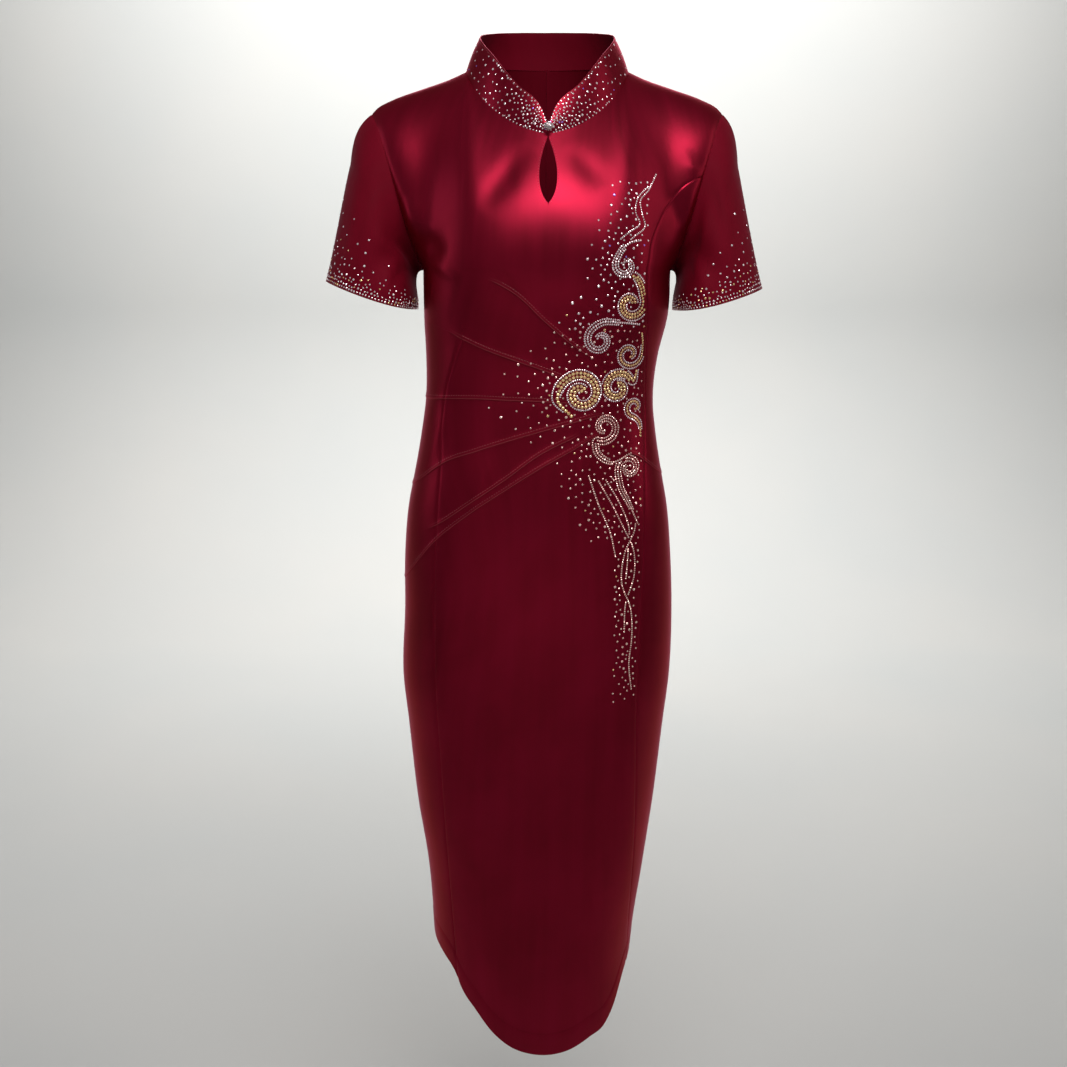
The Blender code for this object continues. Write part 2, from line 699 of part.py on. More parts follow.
def sleeve_points(sleeve, turn, down):
    """Points of a sleeve; down runs 0 at the armhole to 1 at the hem."""
    side = sleeve["side"]
    fore = np.where(turn <= 1, turn, 2 - turn)
    face = np.where(turn <= 1, -1.0, 1.0)
    flip = np.stack([np.full(turn.shape, float(side)), -face, np.ones_like(turn)], axis=-1)
    swell = 1 + (sleeve["swell"] - 1) * ease(fore)
    leave = read(SLEEVE_LEAVE, fore) * flip * np.array((1, -1, 1))
    leave[..., 0] *= swell
    arrive = read(SLEEVE_ARRIVE, fore) * np.array((side, 1, 1))
    inner, outer = np.array(sleeve["inner"]), np.array(sleeve["outer"])
    round_trip = np.sin(fore * pi)
    ring = inner + (outer - inner) * ((1 - np.cos(fore * pi)) / 2)[..., None]
    ring = ring + np.array(SLEEVE_HEM_LEAN) * round_trip[..., None] ** 2
    hem = np.stack([side * ring[..., 0], face * SLEEVE_DEPTH * round_trip, ring[..., 1]], axis=-1)
    points = hermite(armhole(turn, side), hem, leave, arrive, down[..., None])
    cap = CAP_LIFT * np.exp(-((fore - 1) / CAP_SPAN) ** 2) * np.sin(pi * np.clip(down / CAP_REACH, 0, 1))
    points[..., 2] += cap
    points[..., 0] += side * cap
    low, high = SLEEVE_FOLD["turn"]
    crease = np.exp(-((fore - (low + (high - low) * down)) / SLEEVE_FOLD["width"]) ** 2)
    depth = SLEEVE_FOLD["height"] * crease * np.sin(pi * down)
    points[..., 1] += np.where(turn <= 1, -1, 1) * depth
    return points


def build_sleeve(name, collection):
    """A sleeve that starts on the armhole's own points and ends in an open hem."""
    sleeve = SLEEVES[name]
    sheet = Sheet()
    turns = np.arange(2 * RISE_ROWS) / RISE_ROWS
    for ring in range(SLEEVE_RINGS + 1):
        way = ring / SLEEVE_RINGS
        down = ease(way) * SLEEVE_RING_EASE + way * (1 - SLEEVE_RING_EASE)
        points = sleeve_points(sleeve, turns, np.full(turns.shape, down))
        for i, point in enumerate(points):
            sheet.points[ring, i] = Vector(point)
            if ring == 0:
                fore = min(turns[i], 2 - turns[i])
                sheet.setbacks[ring, i] = armhole_setback(fore)
        if ring:
            for i in range(len(turns)):
                after = (i + 1) % len(turns)
                sheet.add_cell((ring - 1, i), (ring - 1, after), (ring, after), (ring, i))
    add_cloth(name, sheet, collection)


def build_collar(collection):
    """Stand collar: one band round the neckline, its ends a hair apart at the front centre."""
    sheet = Sheet()
    front = [2 * share for share in BACK_COLUMNS if share <= NECK_POINT]
    half = front + [2 - place for place in reversed(front[:-1])]
    places = np.array(half + half[-2::-1])
    sides = np.array([1.0] * len(half) + [-1.0] * (len(half) - 1))
    low = read(NECKLINE, places)
    low[..., 0] = np.maximum(low[..., 0], COLLAR_END_GAP)
    low[places == 2, 0] = 0
    high = read(COLLAR_TOP, places)
    rise_way = high - low
    rise_way /= np.linalg.norm(rise_way, axis=-1, keepdims=True)
    low = low + rise_way * COLLAR_LIFT
    for row, rise in enumerate(COLLAR_RISES):
        points = low + (high - low) * rise
        out = points * np.array((1, 1, 0))
        out /= np.linalg.norm(out, axis=-1, keepdims=True)
        points = points + out * COLLAR_BOW * np.sin(pi * rise)
        points[..., 0] *= sides
        for i, point in enumerate(points):
            sheet.points[row, i] = Vector(point)
            if row == 0:
                sheet.setbacks[row, i] = 0.0
        if row:
            for i in range(len(places) - 1):
                sheet.add_cell((row - 1, i), (row - 1, i + 1), (row, i + 1), (row, i))
    add_cloth("collar", sheet, collection, WINE_TRIM)


def build_button(collection):
    """Ball button, just clear of the collar's ends."""
    bm = bmesh.new()
    bmesh.ops.create_uvsphere(bm, u_segments=BUTTON_SEGMENTS, v_segments=BUTTON_RINGS,
                              radius=BUTTON_RADIUS)
    depth = NECKLINE[1][2] - WALL / 2 - SEAM_GAP - BUTTON_RADIUS - BUTTON_CLEARANCE
    seat = Vector((0, depth, BUTTON_HEIGHT))
    bmesh.ops.translate(bm, vec=seat, verts=bm.verts)
    mesh = bpy.data.meshes.new("button")
    bm.to_mesh(mesh)
    bm.free()
    add_object("button", mesh, satin("button_crystal", CRYSTAL, CRYSTAL_ROUGHNESS), collection)


def main():
    """Build every piece of the dress in its own collection."""
    for thing in list(bpy.data.objects):
        bpy.data.objects.remove(thing, do_unlink=True)
    collection = bpy.data.collections.new("cheongsam_dress")
    bpy.context.scene.collection.children.link(collection)
    rows = build_front(collection)
    build_back(collection, rows)
    for name in SLEEVES:
        build_sleeve(name, collection)
    build_collar(collection)
    build_button(collection)


main()
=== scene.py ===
"""Wine-red satin cheongsam in its worn form, with fanned tucks, keyhole, short sleeves and rhinestone clouds."""

import logging
from collections.abc import Callable
from dataclasses import dataclass, field
from enum import Enum
from math import cos, pi, radians, sin, tau

import bmesh
import bpy
import numpy as np
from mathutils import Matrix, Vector


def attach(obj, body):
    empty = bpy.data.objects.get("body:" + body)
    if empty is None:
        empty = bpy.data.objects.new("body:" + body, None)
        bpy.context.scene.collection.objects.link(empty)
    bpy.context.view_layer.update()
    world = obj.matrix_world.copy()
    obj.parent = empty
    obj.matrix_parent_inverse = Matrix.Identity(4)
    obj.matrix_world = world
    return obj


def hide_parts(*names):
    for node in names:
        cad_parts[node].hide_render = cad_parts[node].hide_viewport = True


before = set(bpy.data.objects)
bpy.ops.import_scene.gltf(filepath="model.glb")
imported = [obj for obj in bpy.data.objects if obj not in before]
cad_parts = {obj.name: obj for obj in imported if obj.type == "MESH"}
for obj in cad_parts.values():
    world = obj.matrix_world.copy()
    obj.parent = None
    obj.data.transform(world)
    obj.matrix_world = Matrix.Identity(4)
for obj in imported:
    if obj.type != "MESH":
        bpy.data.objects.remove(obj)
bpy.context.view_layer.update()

Array = np.ndarray
Table = tuple[tuple[float, ...], ...]
Height = Callable[[Array], Array]
Pair = tuple[float, float]
Triple = tuple[float, float, float]
Material = bpy.types.Material
Piece = bpy.types.Object
NodeTree = bpy.types.NodeTree
Socket = bpy.types.NodeSocket
log = logging.getLogger("cheongsam")

BODY = "root"


class Side(Enum):
    """Half of the dress, by the sign of its depth."""

    FRONT = -1
    BACK = 1


class Stone(Enum):
    """Kinds of rhinestone, by their linear colour; the violet kind is a painted glint."""

    CLEAR = (0.95, 0.74, 0.78)
    ROSE = (0.95, 0.56, 0.5)
    GOLD = (0.92, 0.58, 0.24)
    # Violet stones are painted glints: the violet flashes of coated stones, set as a stone colour.
    VIOLET_GLINT = (0.3, 0.16, 0.85)


def read(table: Table, at: Array | float) -> Array:
    """Read a table at values of its first column, with smooth cubic steps between its rows.

    Args:
        table: Rows of a key and its values, in rising order of the key.
        at: Keys to read the values at.

    Returns:
        The values, with one more axis than the keys.
    """
    rows = np.array(table, dtype=float)
    key, values = rows[:, 0], rows[:, 1:]
    slope = np.gradient(values, key, axis=0)
    at = np.clip(np.asarray(at, dtype=float), key[0], key[-1])
    low = np.clip(np.searchsorted(key, at, side="right") - 1, 0, len(key) - 2)
    span = (key[low + 1] - key[low])[..., None]
    f = (at - key[low])[..., None] / span
    return hermite(values[low], values[low + 1], slope[low] * span, slope[low + 1] * span, f)


def hermite(start: Array, end: Array, leave: Array, arrive: Array, f: Array) -> Array:
    """Points a share of the way along cubic curves between two points, with the direction at each."""
    return ((2 * f**3 - 3 * f**2 + 1) * start + (f**3 - 2 * f**2 + f) * leave
            + (3 * f**2 - 2 * f**3) * end + (f**3 - f**2) * arrive)


def ease(f: Array | float) -> Array:
    """Smooth step from 0 to 1."""
    f = np.clip(f, 0.0, 1.0)
    return f * f * (3 - 2 * f)


def unit(vectors: Array) -> Array:
    """Vectors scaled to length 1."""
    return vectors / np.maximum(np.linalg.norm(vectors, axis=-1, keepdims=True), 1e-12)


@dataclass(frozen=True)
class Crease:
    """A soft trough or ridge, in x and z on the body, or in turn round and place down a sleeve."""

    start: Pair
    end: Pair
    width: float
    height: float

    def relief(self, first: Array, second: Array) -> Array:
        """Height of the crease at places of the cloth.

        Args:
            first: Places by the first measure.
            second: Places by the second.

        Returns:
            Height above the cloth, below 0 in a trough.
        """
        start, end = np.array(self.start), np.array(self.end)
        along = end - start
        length = np.hypot(*along)
        offset = np.stack([first, second], axis=-1) - start
        share = offset @ along / length**2
        aside = (offset[..., 0] * along[1] - offset[..., 1] * along[0]) / length
        return self.height * np.sin(pi * np.clip(share, 0, 1)) * np.exp(-(aside / self.width) ** 2)


@dataclass(frozen=True)
class Tuck:
    """A stitched tuck: heights of its fold edge at nine places across, and the places where it ends."""

    z: tuple[float, ...]
    ends: Pair


@dataclass(frozen=True)
class BodyForm:
    """The worn hollow form of the dress that its panels, stones and stitches follow."""

    wall: float = 0.0008
    underarm: float = -0.208
    roundness: float = 2.35
    neck_point: float = 0.5
    ease_width: float = 0.16
    ease_reach: float = 0.085
    probe: float = 0.0005
    hem: Table = (
        (-1.0, -1.026), (-0.86, -1.037), (-0.76, -1.05), (-0.7, -1.068), (-0.56, -1.092),
        (-0.4, -1.118), (-0.25, -1.134), (0.0, -1.146), (0.2, -1.147), (0.35, -1.1435),
        (0.57, -1.131), (0.73, -1.12), (0.81, -1.103), (0.92, -1.064), (1.0, -1.048))
    sections: Table = (
        (-1.15, -0.0163, 0.124, 0.105, 0.104), (-1.044, -0.0163, 0.1258, 0.105, 0.105),
        (-0.929, -0.0124, 0.1357, 0.105, 0.108), (-0.846, -0.0127, 0.1466, 0.1065, 0.114),
        (-0.739, -0.0122, 0.1565, 0.109, 0.123), (-0.686, -0.0118, 0.1615, 0.1105, 0.129),
        (-0.597, -0.0092, 0.16, 0.112, 0.133), (-0.534, -0.01, 0.1575, 0.112, 0.13),
        (-0.473, -0.01, 0.1513, 0.11, 0.119), (-0.437, -0.0097, 0.1441, 0.107, 0.11),
        (-0.39, -0.009, 0.1354, 0.101, 0.098), (-0.355, -0.0082, 0.1308, 0.099, 0.093),
        (-0.2975, -0.005, 0.1326, 0.107, 0.094), (-0.264, -0.0015, 0.1372, 0.116, 0.0965),
        (-0.241, 0.0, 0.1387, 0.122, 0.098), (-0.208, 0.0, 0.1385, 0.127, 0.0985),
        (-0.18, 0.0, 0.1385, 0.127, 0.0985))
    neckline: Table = (
        (-0.14, -0.02, -0.0825, -0.0682), (0.0, 0.0, -0.088, -0.0725), (0.14, 0.02, -0.0825, -0.0682),
        (0.34, 0.044, -0.068, -0.0557), (0.64, 0.0705, -0.041, -0.031), (1.0, 0.0877, 0.0, 0.002),
        (1.3, 0.078, 0.03, 0.012), (1.65, 0.042, 0.06, 0.017), (2.0, 0.0, 0.07, 0.018),
        (2.35, -0.042, 0.06, 0.017))
    shoulder: Table = (
        (0.0, 0.0877, 0.0, 0.002), (0.18, 0.1063, 0.0, -0.006), (0.45, 0.135, 0.0, -0.0155),
        (0.8, 0.1726, 0.0, -0.0285), (0.94, 0.187, 0.0, -0.036), (1.0, 0.193, 0.0, -0.042))
    rise_front: Table = (
        (0.0, 0.15, 0.0, 0.06, 0.125), (0.25, 0.17, 0.0, 0.08, 0.12), (0.5, 0.22, 0.0, 0.14, 0.07),
        (0.75, 0.19, 0.005, 0.14, 0.05), (1.0, 0.16, 0.06, 0.165, 0.08))
    rise_back: Table = (
        (0.0, 0.24, 0.0, -0.05, 0.21), (0.25, 0.24, 0.0, -0.12, 0.15),
        (0.5, 0.23, 0.0, -0.29, 0.03), (0.75, 0.2, 0.005, -0.23, 0.035),
        (1.0, 0.16, 0.06, -0.2, 0.08))
    armhole_leave: tuple[float, ...] = (0.05, 0.165, 0.09)
    armhole_from: float = 0.6
    across: tuple[float, ...] = (-1.0, -0.75, -0.5, -0.25, 0.0, 0.25, 0.5, 0.75, 1.0)
    tucks: tuple[Tuck, ...] = (
        Tuck((-.223, -.22, -.218, -.234, -.264, -.289, -.306, -.308, -.305), (-0.36, 0.34)),
        Tuck((-.262, -.274, -.29, -.302, -.313, -.325, -.331, -.333, -.33), (-0.66, 0.3)),
        Tuck((-.349, -.346, -.345, -.346, -.347, -.349, -.351, -.352, -.352), (-1.0, 0.18)),
        Tuck((-.45, -.417, -.402, -.39, -.38, -.371, -.363, -.365, -.37), (-1.0, 0.46)),
        Tuck((-.506, -.487, -.458, -.431, -.405, -.388, -.374, -.377, -.387), (-0.72, 0.24)),
        Tuck((-.563, -.506, -.47, -.443, -.42, -.401, -.384, -.388, -.405), (-1.0, 0.46)),
        Tuck((-.62, -.588, -.552, -.51, -.472, -.441, -.414, -.407, -.438), (0.76, 1.0)))
    tuck_height: float = 0.0006
    tuck_width: float = 0.01
    tuck_step: float = 0.0022
    tuck_fade: float = 0.1
    fold_edge: float = 0.12
    top_fade: float = 0.12
    tuck_edge: float = 0.01
    first_width: float = 0.21
    first_rise: float = 0.16
    search_steps: int = 11
    front_creases: tuple[Crease, ...] = (
        Crease((-0.15, -0.172), (-0.108, -0.196), 0.014, -0.005),
        Crease((-0.156, -0.135), (-0.128, -0.172), 0.013, 0.003),
        Crease((0.137, -0.128), (0.147, -0.182), 0.012, -0.0035),
        Crease((0.128, -0.205), (0.122, -0.25), 0.016, -0.003),
        Crease((-0.09, -0.262), (-0.136, -0.42), 0.016, 0.003),
        Crease((-0.116, -0.48), (-0.124, -0.76), 0.018, 0.0025),
        Crease((0.092, -0.62), (0.1, -0.98), 0.018, 0.003),
        Crease((-0.04, -0.74), (-0.03, -1.08), 0.03, 0.002),
        Crease((0.15, -0.086), (0.174, -0.104), 0.004, -0.0012),
        Crease((0.146, -0.098), (0.168, -0.112), 0.005, 0.001),
        Crease((-0.02, -0.083), (-0.07, -0.15), 0.012, -0.0022),
        Crease((0.022, -0.086), (0.06, -0.128), 0.011, -0.0012),
        Crease((-0.128, -0.196), (-0.092, -0.222), 0.006, 0.0014),
        Crease((-0.088, -0.268), (-0.112, -0.345), 0.006, 0.0012),
        Crease((-0.108, -0.356), (-0.136, -0.432), 0.005, 0.0011),
        Crease((-0.062, -0.408), (-0.082, -0.47), 0.008, 0.0012),
        Crease((0.02, -0.56), (0.034, -0.9), 0.024, -0.0016),
        Crease((-0.086, -0.64), (-0.078, -0.98), 0.02, -0.0016),
        Crease((0.058, -0.82), (0.066, -1.11), 0.022, 0.002))
    back_creases: tuple[Crease, ...] = (
        Crease((-0.15, -0.16), (-0.112, -0.2), 0.013, -0.0036),
        Crease((0.148, -0.166), (0.106, -0.196), 0.012, -0.004),
        Crease((0.154, -0.12), (0.134, -0.17), 0.01, 0.0022),
        Crease((-0.12, -0.33), (-0.03, -0.35), 0.009, -0.0022),
        Crease((0.026, -0.342), (0.118, -0.326), 0.008, -0.0018),
        Crease((-0.104, -0.362), (-0.046, -0.378), 0.008, 0.0016),
        Crease((0.04, -0.372), (0.11, -0.356), 0.01, 0.0015),
        Crease((-0.116, -0.42), (-0.136, -0.56), 0.016, 0.0024),
        Crease((0.104, -0.44), (0.122, -0.61), 0.015, 0.0022),
        Crease((-0.062, -0.7), (-0.052, -1.01), 0.024, -0.0026),
        Crease((0.07, -0.66), (0.064, -1.04), 0.022, -0.0022),
        Crease((-0.104, -0.76), (-0.098, -1.03), 0.018, 0.0026),
        Crease((0.108, -0.8), (0.1, -1.04), 0.017, 0.0024),
        Crease((0.03, -0.78), (0.026, -1.1), 0.026, 0.002),
        Crease((-0.06, -0.12), (-0.09, -0.19), 0.012, 0.0014),
        Crease((0.064, -0.11), (0.086, -0.176), 0.013, 0.0012))

    def tube(self, share: Array, z: Array, side: Side) -> Array:
        """Points of the body below the underarm.

        Args:
            share: Place round one half, -1 to 1 from side seam to side seam.
            z: Heights.
            side: Front or back.

        Returns:
            The points.
        """
        section = read(self.sections, z)
        depth = section[..., 2] if side is Side.FRONT else section[..., 3]
        turn = share * pi / 2
        out = np.clip(np.cos(turn), 0.0, 1.0) ** (2 / self.roundness)
        x = section[..., 0] + section[..., 1] * self.across_of(share)
        return np.stack([x, side.value * depth * out, z + 0 * share], axis=-1)

    def top_edge(self, share: Array, side: Side) -> Array:
        """Points of the neckline and the shoulder seams.

        Args:
            share: Place across one half.
            side: Front or back.

        Returns:
            The points.
        """
        size = np.abs(share)
        place = size / self.neck_point
        neck = read(self.neckline, place if side is Side.FRONT else 2 - place)
        shoulder = read(self.shoulder, (size - self.neck_point) / (1 - self.neck_point))
        return np.where((size <= self.neck_point)[..., None], neck, shoulder) * self.mirror_of(share)

    def mirror_of(self, share: Array) -> Array:
        """Factors that mirror a point to the side that a share is on."""
        flip = np.where(share < 0, -1.0, 1.0)
        return np.stack([flip, np.ones_like(flip), np.ones_like(flip)], axis=-1)

    def yoke(self, share: Array, rise: Array, side: Side) -> Array:
        """Points of the body above the underarm, eased below the corners of the neckline.

        Args:
            share: Place across one half.
            rise: Place up, 0 at the chest to 1 at the neckline and shoulder.
            side: Front or back.

        Returns:
            The points.
        """
        share, rise = np.broadcast_arrays(np.asarray(share, float), np.asarray(rise, float))
        near = np.exp(-((np.abs(share) - self.neck_point) / self.ease_width) ** 2)
        up = np.clip(rise, 0, 1)
        reach = self.ease_reach * near * ease(up / 0.15) * (1 - up ** 5)
        return (self.plain_yoke(share - reach, rise, side) + 2 * self.plain_yoke(share, rise, side)
                + self.plain_yoke(share + reach, rise, side)) / 4

    def plain_yoke(self, share: Array, rise: Array, side: Side) -> Array:
        """Points of the body above the underarm, before they are eased.

        Args:
            share: Place across one half.
            rise: Place up, 0 at the chest to 1 at the neckline and shoulder.
            side: Front or back.

        Returns:
            The points.
        """
        share, rise = np.broadcast_arrays(np.asarray(share, float), np.asarray(rise, float))
        size = np.abs(share)
        flip = self.mirror_of(share)
        chest_z = np.full(share.shape, self.underarm)
        chest = self.tube(share, chest_z, side)
        upper, lower = (self.tube(share, chest_z + step, side) for step in (self.probe, -self.probe))
        shape = read(self.rise_front if side is Side.FRONT else self.rise_back, size)
        near_arm = ease((size - self.armhole_from) / (1 - self.armhole_from))[..., None]
        leave = (upper - lower) / (2 * self.probe) * shape[..., :1] * (1 - near_arm)
        leave = leave + near_arm * flip * np.array(self.armhole_leave) * np.array((1, side.value, 1))
        return hermite(chest, self.top_edge(share, side), leave, shape[..., 1:] * flip, rise[..., None])

    def across_of(self, share: Array) -> Array:
        """Place across the width, -1 to 1, of a share."""
        return np.sign(share) * np.abs(np.sin(share * pi / 2)) ** (2 / self.roundness)

    def share_of_x(self, x: Array, z: Array) -> Array:
        """Share across the body of a place in x at a height below the underarm.

        Args:
            x: Places across.
            z: Heights.

        Returns:
            The shares, -1 to 1.
        """
        section = read(self.sections, z)
        across = np.clip((x - section[..., 0]) / section[..., 1], -1.0, 1.0)
        return np.sign(across) * np.arcsin(np.abs(across) ** (self.roundness / 2)) * 2 / pi

    def tuck_line(self, index: int, across: Array) -> Array:
        """Height of a tuck's fold edge at places across the front."""
        return read(tuple(zip(self.across, self.tucks[index].z)), across)[..., 0]

    def hem_line(self, across: Array) -> Array:
        """Height of the hem at places across the front or back."""
        return read(self.hem, across)[..., 0]

    def tuck_present(self, index: int, across: Array) -> Array:
        """How far a tuck is raised at places across, 0 to 1."""
        start, end = self.tucks[index].ends
        return ease((across - start) / self.tuck_fade + 1) * ease((end - across) / self.tuck_fade + 1)

    def tuck_relief(self, across: Array, z: Array) -> Array:
        """Height of the tucks: a slow rise to the fold edge and a short step below it.

        Args:
            across: Places across the front.
            z: Heights.

        Returns:
            Height above the cloth.
        """
        relief = np.zeros_like(z)
        for index in range(len(self.tucks)):
            above = z - self.tuck_line(index, across)
            lip = np.where(above >= 0, ease(1 - above / self.tuck_width), ease(1 + above / self.tuck_step))
            relief = np.maximum(relief, self.tuck_height * lip ** 2 * self.tuck_present(index, across))
        return relief

    def surface(self, share: Array, up: Array, side: Side, on_yoke: bool) -> Array:
        """Points without relief, by rise on the yoke and by height below it."""
        return self.yoke(share, up, side) if on_yoke else self.tube(share, up, side)

    def normal(self, share: Array, up: Array, side: Side, on_yoke: bool) -> Array:
        """Outward normals of the form without relief.

        Args:
            share: Place round one half.
            up: Rise on the yoke, or height below it.
            side: Front or back.
            on_yoke: Whether the places are above the underarm.

        Returns:
            Normals of length 1.
        """
        low, high = np.clip(share - self.probe, -1, 1), np.clip(share + self.probe, -1, 1)
        wide = self.surface(high, up, side, on_yoke) - self.surface(low, up, side, on_yoke)
        tall = (self.surface(share, up + self.probe, side, on_yoke)
                - self.surface(share, up - self.probe, side, on_yoke))
        return unit(np.cross(wide, tall)) * -side.value

    def dressed(self, share: Array, up: Array, side: Side, on_yoke: bool, lift: Array | float = 0.0) -> Array:
        """Points moved out by the tucks and creases, which fade towards the side seams.

        Args:
            share: Place round one half.
            up: Rise on the yoke, or height below it.
            side: Front or back.
            on_yoke: Whether the places are above the underarm.
            lift: More height, such as the roll of a seam.

        Returns:
            The points.
        """
        base = self.surface(share, up, side, on_yoke)
        creases = self.front_creases if side is Side.FRONT else self.back_creases
        relief = sum(crease.relief(base[..., 0], base[..., 2]) for crease in creases)
        relief = relief * ease((1 - np.abs(share)) / self.fold_edge)
        if on_yoke:
            relief = relief * ease((1 - up) / self.top_fade)
        elif side is Side.FRONT:
            edge = ease((1 - np.abs(share)) / self.tuck_edge)
            relief = relief + self.tuck_relief(self.across_of(share), up) * edge
        return base + self.normal(share, up, side, on_yoke) * (relief + lift)[..., None]

    def front_at(self, x: Array, z: Array) -> tuple[Array, Array]:
        """Outer points and normals of the front at places in x and z.

        Args:
            x: Places across.
            z: Heights.

        Returns:
            Points on the outside of the cloth and their normals.
        """
        below = z <= self.underarm
        low_z = np.minimum(z, self.underarm)
        low_share = self.share_of_x(x, low_z)
        low = self.dressed(low_share, low_z, Side.FRONT, False)
        low_normal = self.normal(low_share, low_z, Side.FRONT, False)
        share = x / self.first_width
        rise = np.clip((z - self.underarm) / self.first_rise, 0, 1)
        for _ in range(self.search_steps):
            here = self.yoke(share, rise, Side.FRONT)
            plain = self.plain_yoke(share, rise, Side.FRONT)
            by_share = (self.plain_yoke(share + self.probe, rise, Side.FRONT) - plain) / self.probe
            by_rise = (self.plain_yoke(share, rise + self.probe, Side.FRONT) - plain) / self.probe
            miss_x, miss_z = x - here[..., 0], z - here[..., 2]
            room = by_share[..., 0] * by_rise[..., 2] - by_rise[..., 0] * by_share[..., 2]
            share = share + np.clip((miss_x * by_rise[..., 2] - by_rise[..., 0] * miss_z) / room, -.1, .1)
            rise = rise + np.clip((by_share[..., 0] * miss_z - by_share[..., 2] * miss_x) / room, -.1, .1)
            share, rise = np.clip(share, -0.99, 0.99), np.clip(rise, 0, 0.99)
        high = self.dressed(share, rise, Side.FRONT, True)
        high_normal = self.normal(share, rise, Side.FRONT, True)
        points = np.where(below[..., None], low, high)
        normals = np.where(below[..., None], low_normal, high_normal)
        return points + normals * self.wall / 2, normals


@dataclass
class Sheet:
    """An open sheet of cloth, gathered cell by cell from keyed points."""

    length: float = 0.0
    last: Array | None = None
    points: dict = field(default_factory=dict)
    places: dict = field(default_factory=dict)
    marks: dict = field(default_factory=dict)
    setbacks: dict = field(default_factory=dict)
    cells: list = field(default_factory=list)

    def add_row(self, row: int, labels: list, points: Array, v: float, marks: Array, setbacks: Array,
                middle: int = 0) -> None:
        """Add a row of points, with cloth lengths along the row as its u.

        Args:
            row: Key of the row.
            labels: Keys of the points in the row.
            points: The points.
            v: Cloth length down to the row.
            marks: Four marks for each point: painted highlight of a fold edge, stitch line, painted shade and wear.
            setbacks: How far a border moves in at each point.
            middle: Index of the point where u is 0.
        """
        steps = np.linalg.norm(np.diff(points, axis=0), axis=-1)
        u = np.concatenate([[0.0], np.cumsum(steps)])
        u -= u[middle]
        for i, label in enumerate(labels):
            self.points[row, label] = points[i]
            self.places[row, label] = (u[i], v)
            self.marks[row, label] = marks[i]
            self.setbacks[row, label] = setbacks[i]

    def measure(self, point: Array) -> float:
        """Cloth length down to a row, measured from row to row at one point of each.

        Args:
            point: The row's point.

        Returns:
            The length.
        """
        if self.last is not None:
            self.length += float(np.linalg.norm(point - self.last))
        self.last = point
        return self.length

    def join_row(self, row: int, count: int, turned: bool = False) -> None:
        """Add the cells between a row and the one above it, if there is one.

        Args:
            row: The row.
            count: Number of cells.
            turned: Whether they run the other way, to face outwards.
        """
        for i in range(count if row else 0):
            corners = (row - 1, i), (row - 1, i + 1), (row, i + 1), (row, i)
            self.add_cell(*(corners[::-1] if turned else corners))

    def add_cell(self, *keys: tuple) -> None:
        """Add a face by the keys of its corners, leaving out a corner that repeats."""
        kept = list(dict.fromkeys(keys))
        if len(kept) > 2:
            self.cells.append(kept)

    def mesh(self, name: str) -> bpy.types.Mesh:
        """Make the mesh, with its border moved in by the set-back of each point.

        Args:
            name: Name of the mesh.

        Returns:
            The mesh, with its cloth lengths as a UV map and its marks as a colour attribute.
        """
        bm = bmesh.new()
        used = dict.fromkeys(key for cell in self.cells for key in cell)
        marks = bm.verts.layers.float_color.new("cloth_marks")
        uv = bm.loops.layers.uv.new("cloth")
        verts = {key: bm.verts.new(self.points[key]) for key in used}
        for key, vert in verts.items():
            vert[marks] = self.marks[key]
        for cell in self.cells:
            face = bm.faces.new([verts[key] for key in cell])
            for loop, key in zip(face.loops, cell):
                loop[uv].uv = self.places[key]
        bm.normal_update()
        reach = {verts[key]: self.setbacks[key] for key in used}
        moves = {vert: self.border_move(vert, reach) for vert in bm.verts if vert.is_boundary}
        for vert, move in moves.items():
            vert.co += move
        mesh = bpy.data.meshes.new(name)
        bm.to_mesh(mesh)
        bm.free()
        return mesh

    @staticmethod
    def border_move(vert: bmesh.types.BMVert, reach: dict) -> Vector:
        """Move of a border point that sets back both of its border edges over the surface.

        Args:
            vert: The border point.
            reach: Set-back of each point.

        Returns:
            The move.
        """
        pulls = []
        for edge in vert.link_edges:
            if edge.is_boundary:
                face = edge.link_faces[0]
                start, end = (corner.co for corner in edge.verts)
                inward = face.normal.cross(end - start).normalized()
                if inward.dot(face.calc_center_median() - (start + end) / 2) < 0:
                    inward.negate()
                pulls.append((inward, max(reach[corner] for corner in edge.verts)))
        (first, first_reach), (second, second_reach) = pulls
        lean = first.dot(second)
        room = 1 - lean * lean
        if room < 0.04:
            return (first + second).normalized() * (first_reach + second_reach) / 2
        move = (first * (first_reach - lean * second_reach) / room
                + second * (second_reach - lean * first_reach) / room)
        most = 2.5 * max(first_reach, second_reach)
        return move * min(1.0, most / move.length) if move.length else move


def select(*things: Piece) -> None:
    """Select some objects alone, or none.

    Args:
        *things: The objects; the last one becomes the active one.
    """
    bpy.ops.object.select_all(action="DESELECT")
    for thing in things:
        thing.select_set(True)
        bpy.context.view_layer.objects.active = thing


def make_piece(name: str, mesh: bpy.types.Mesh, *materials: Material) -> Piece:
    """Make an object of a mesh, selected alone.

    Args:
        name: Its name.
        mesh: The mesh.
        *materials: Its materials.

    Returns:
        The object.
    """
    for material in materials:
        mesh.materials.append(material)
    thing = bpy.data.objects.new(name, mesh)
    bpy.context.scene.collection.objects.link(thing)
    select(thing)
    return thing


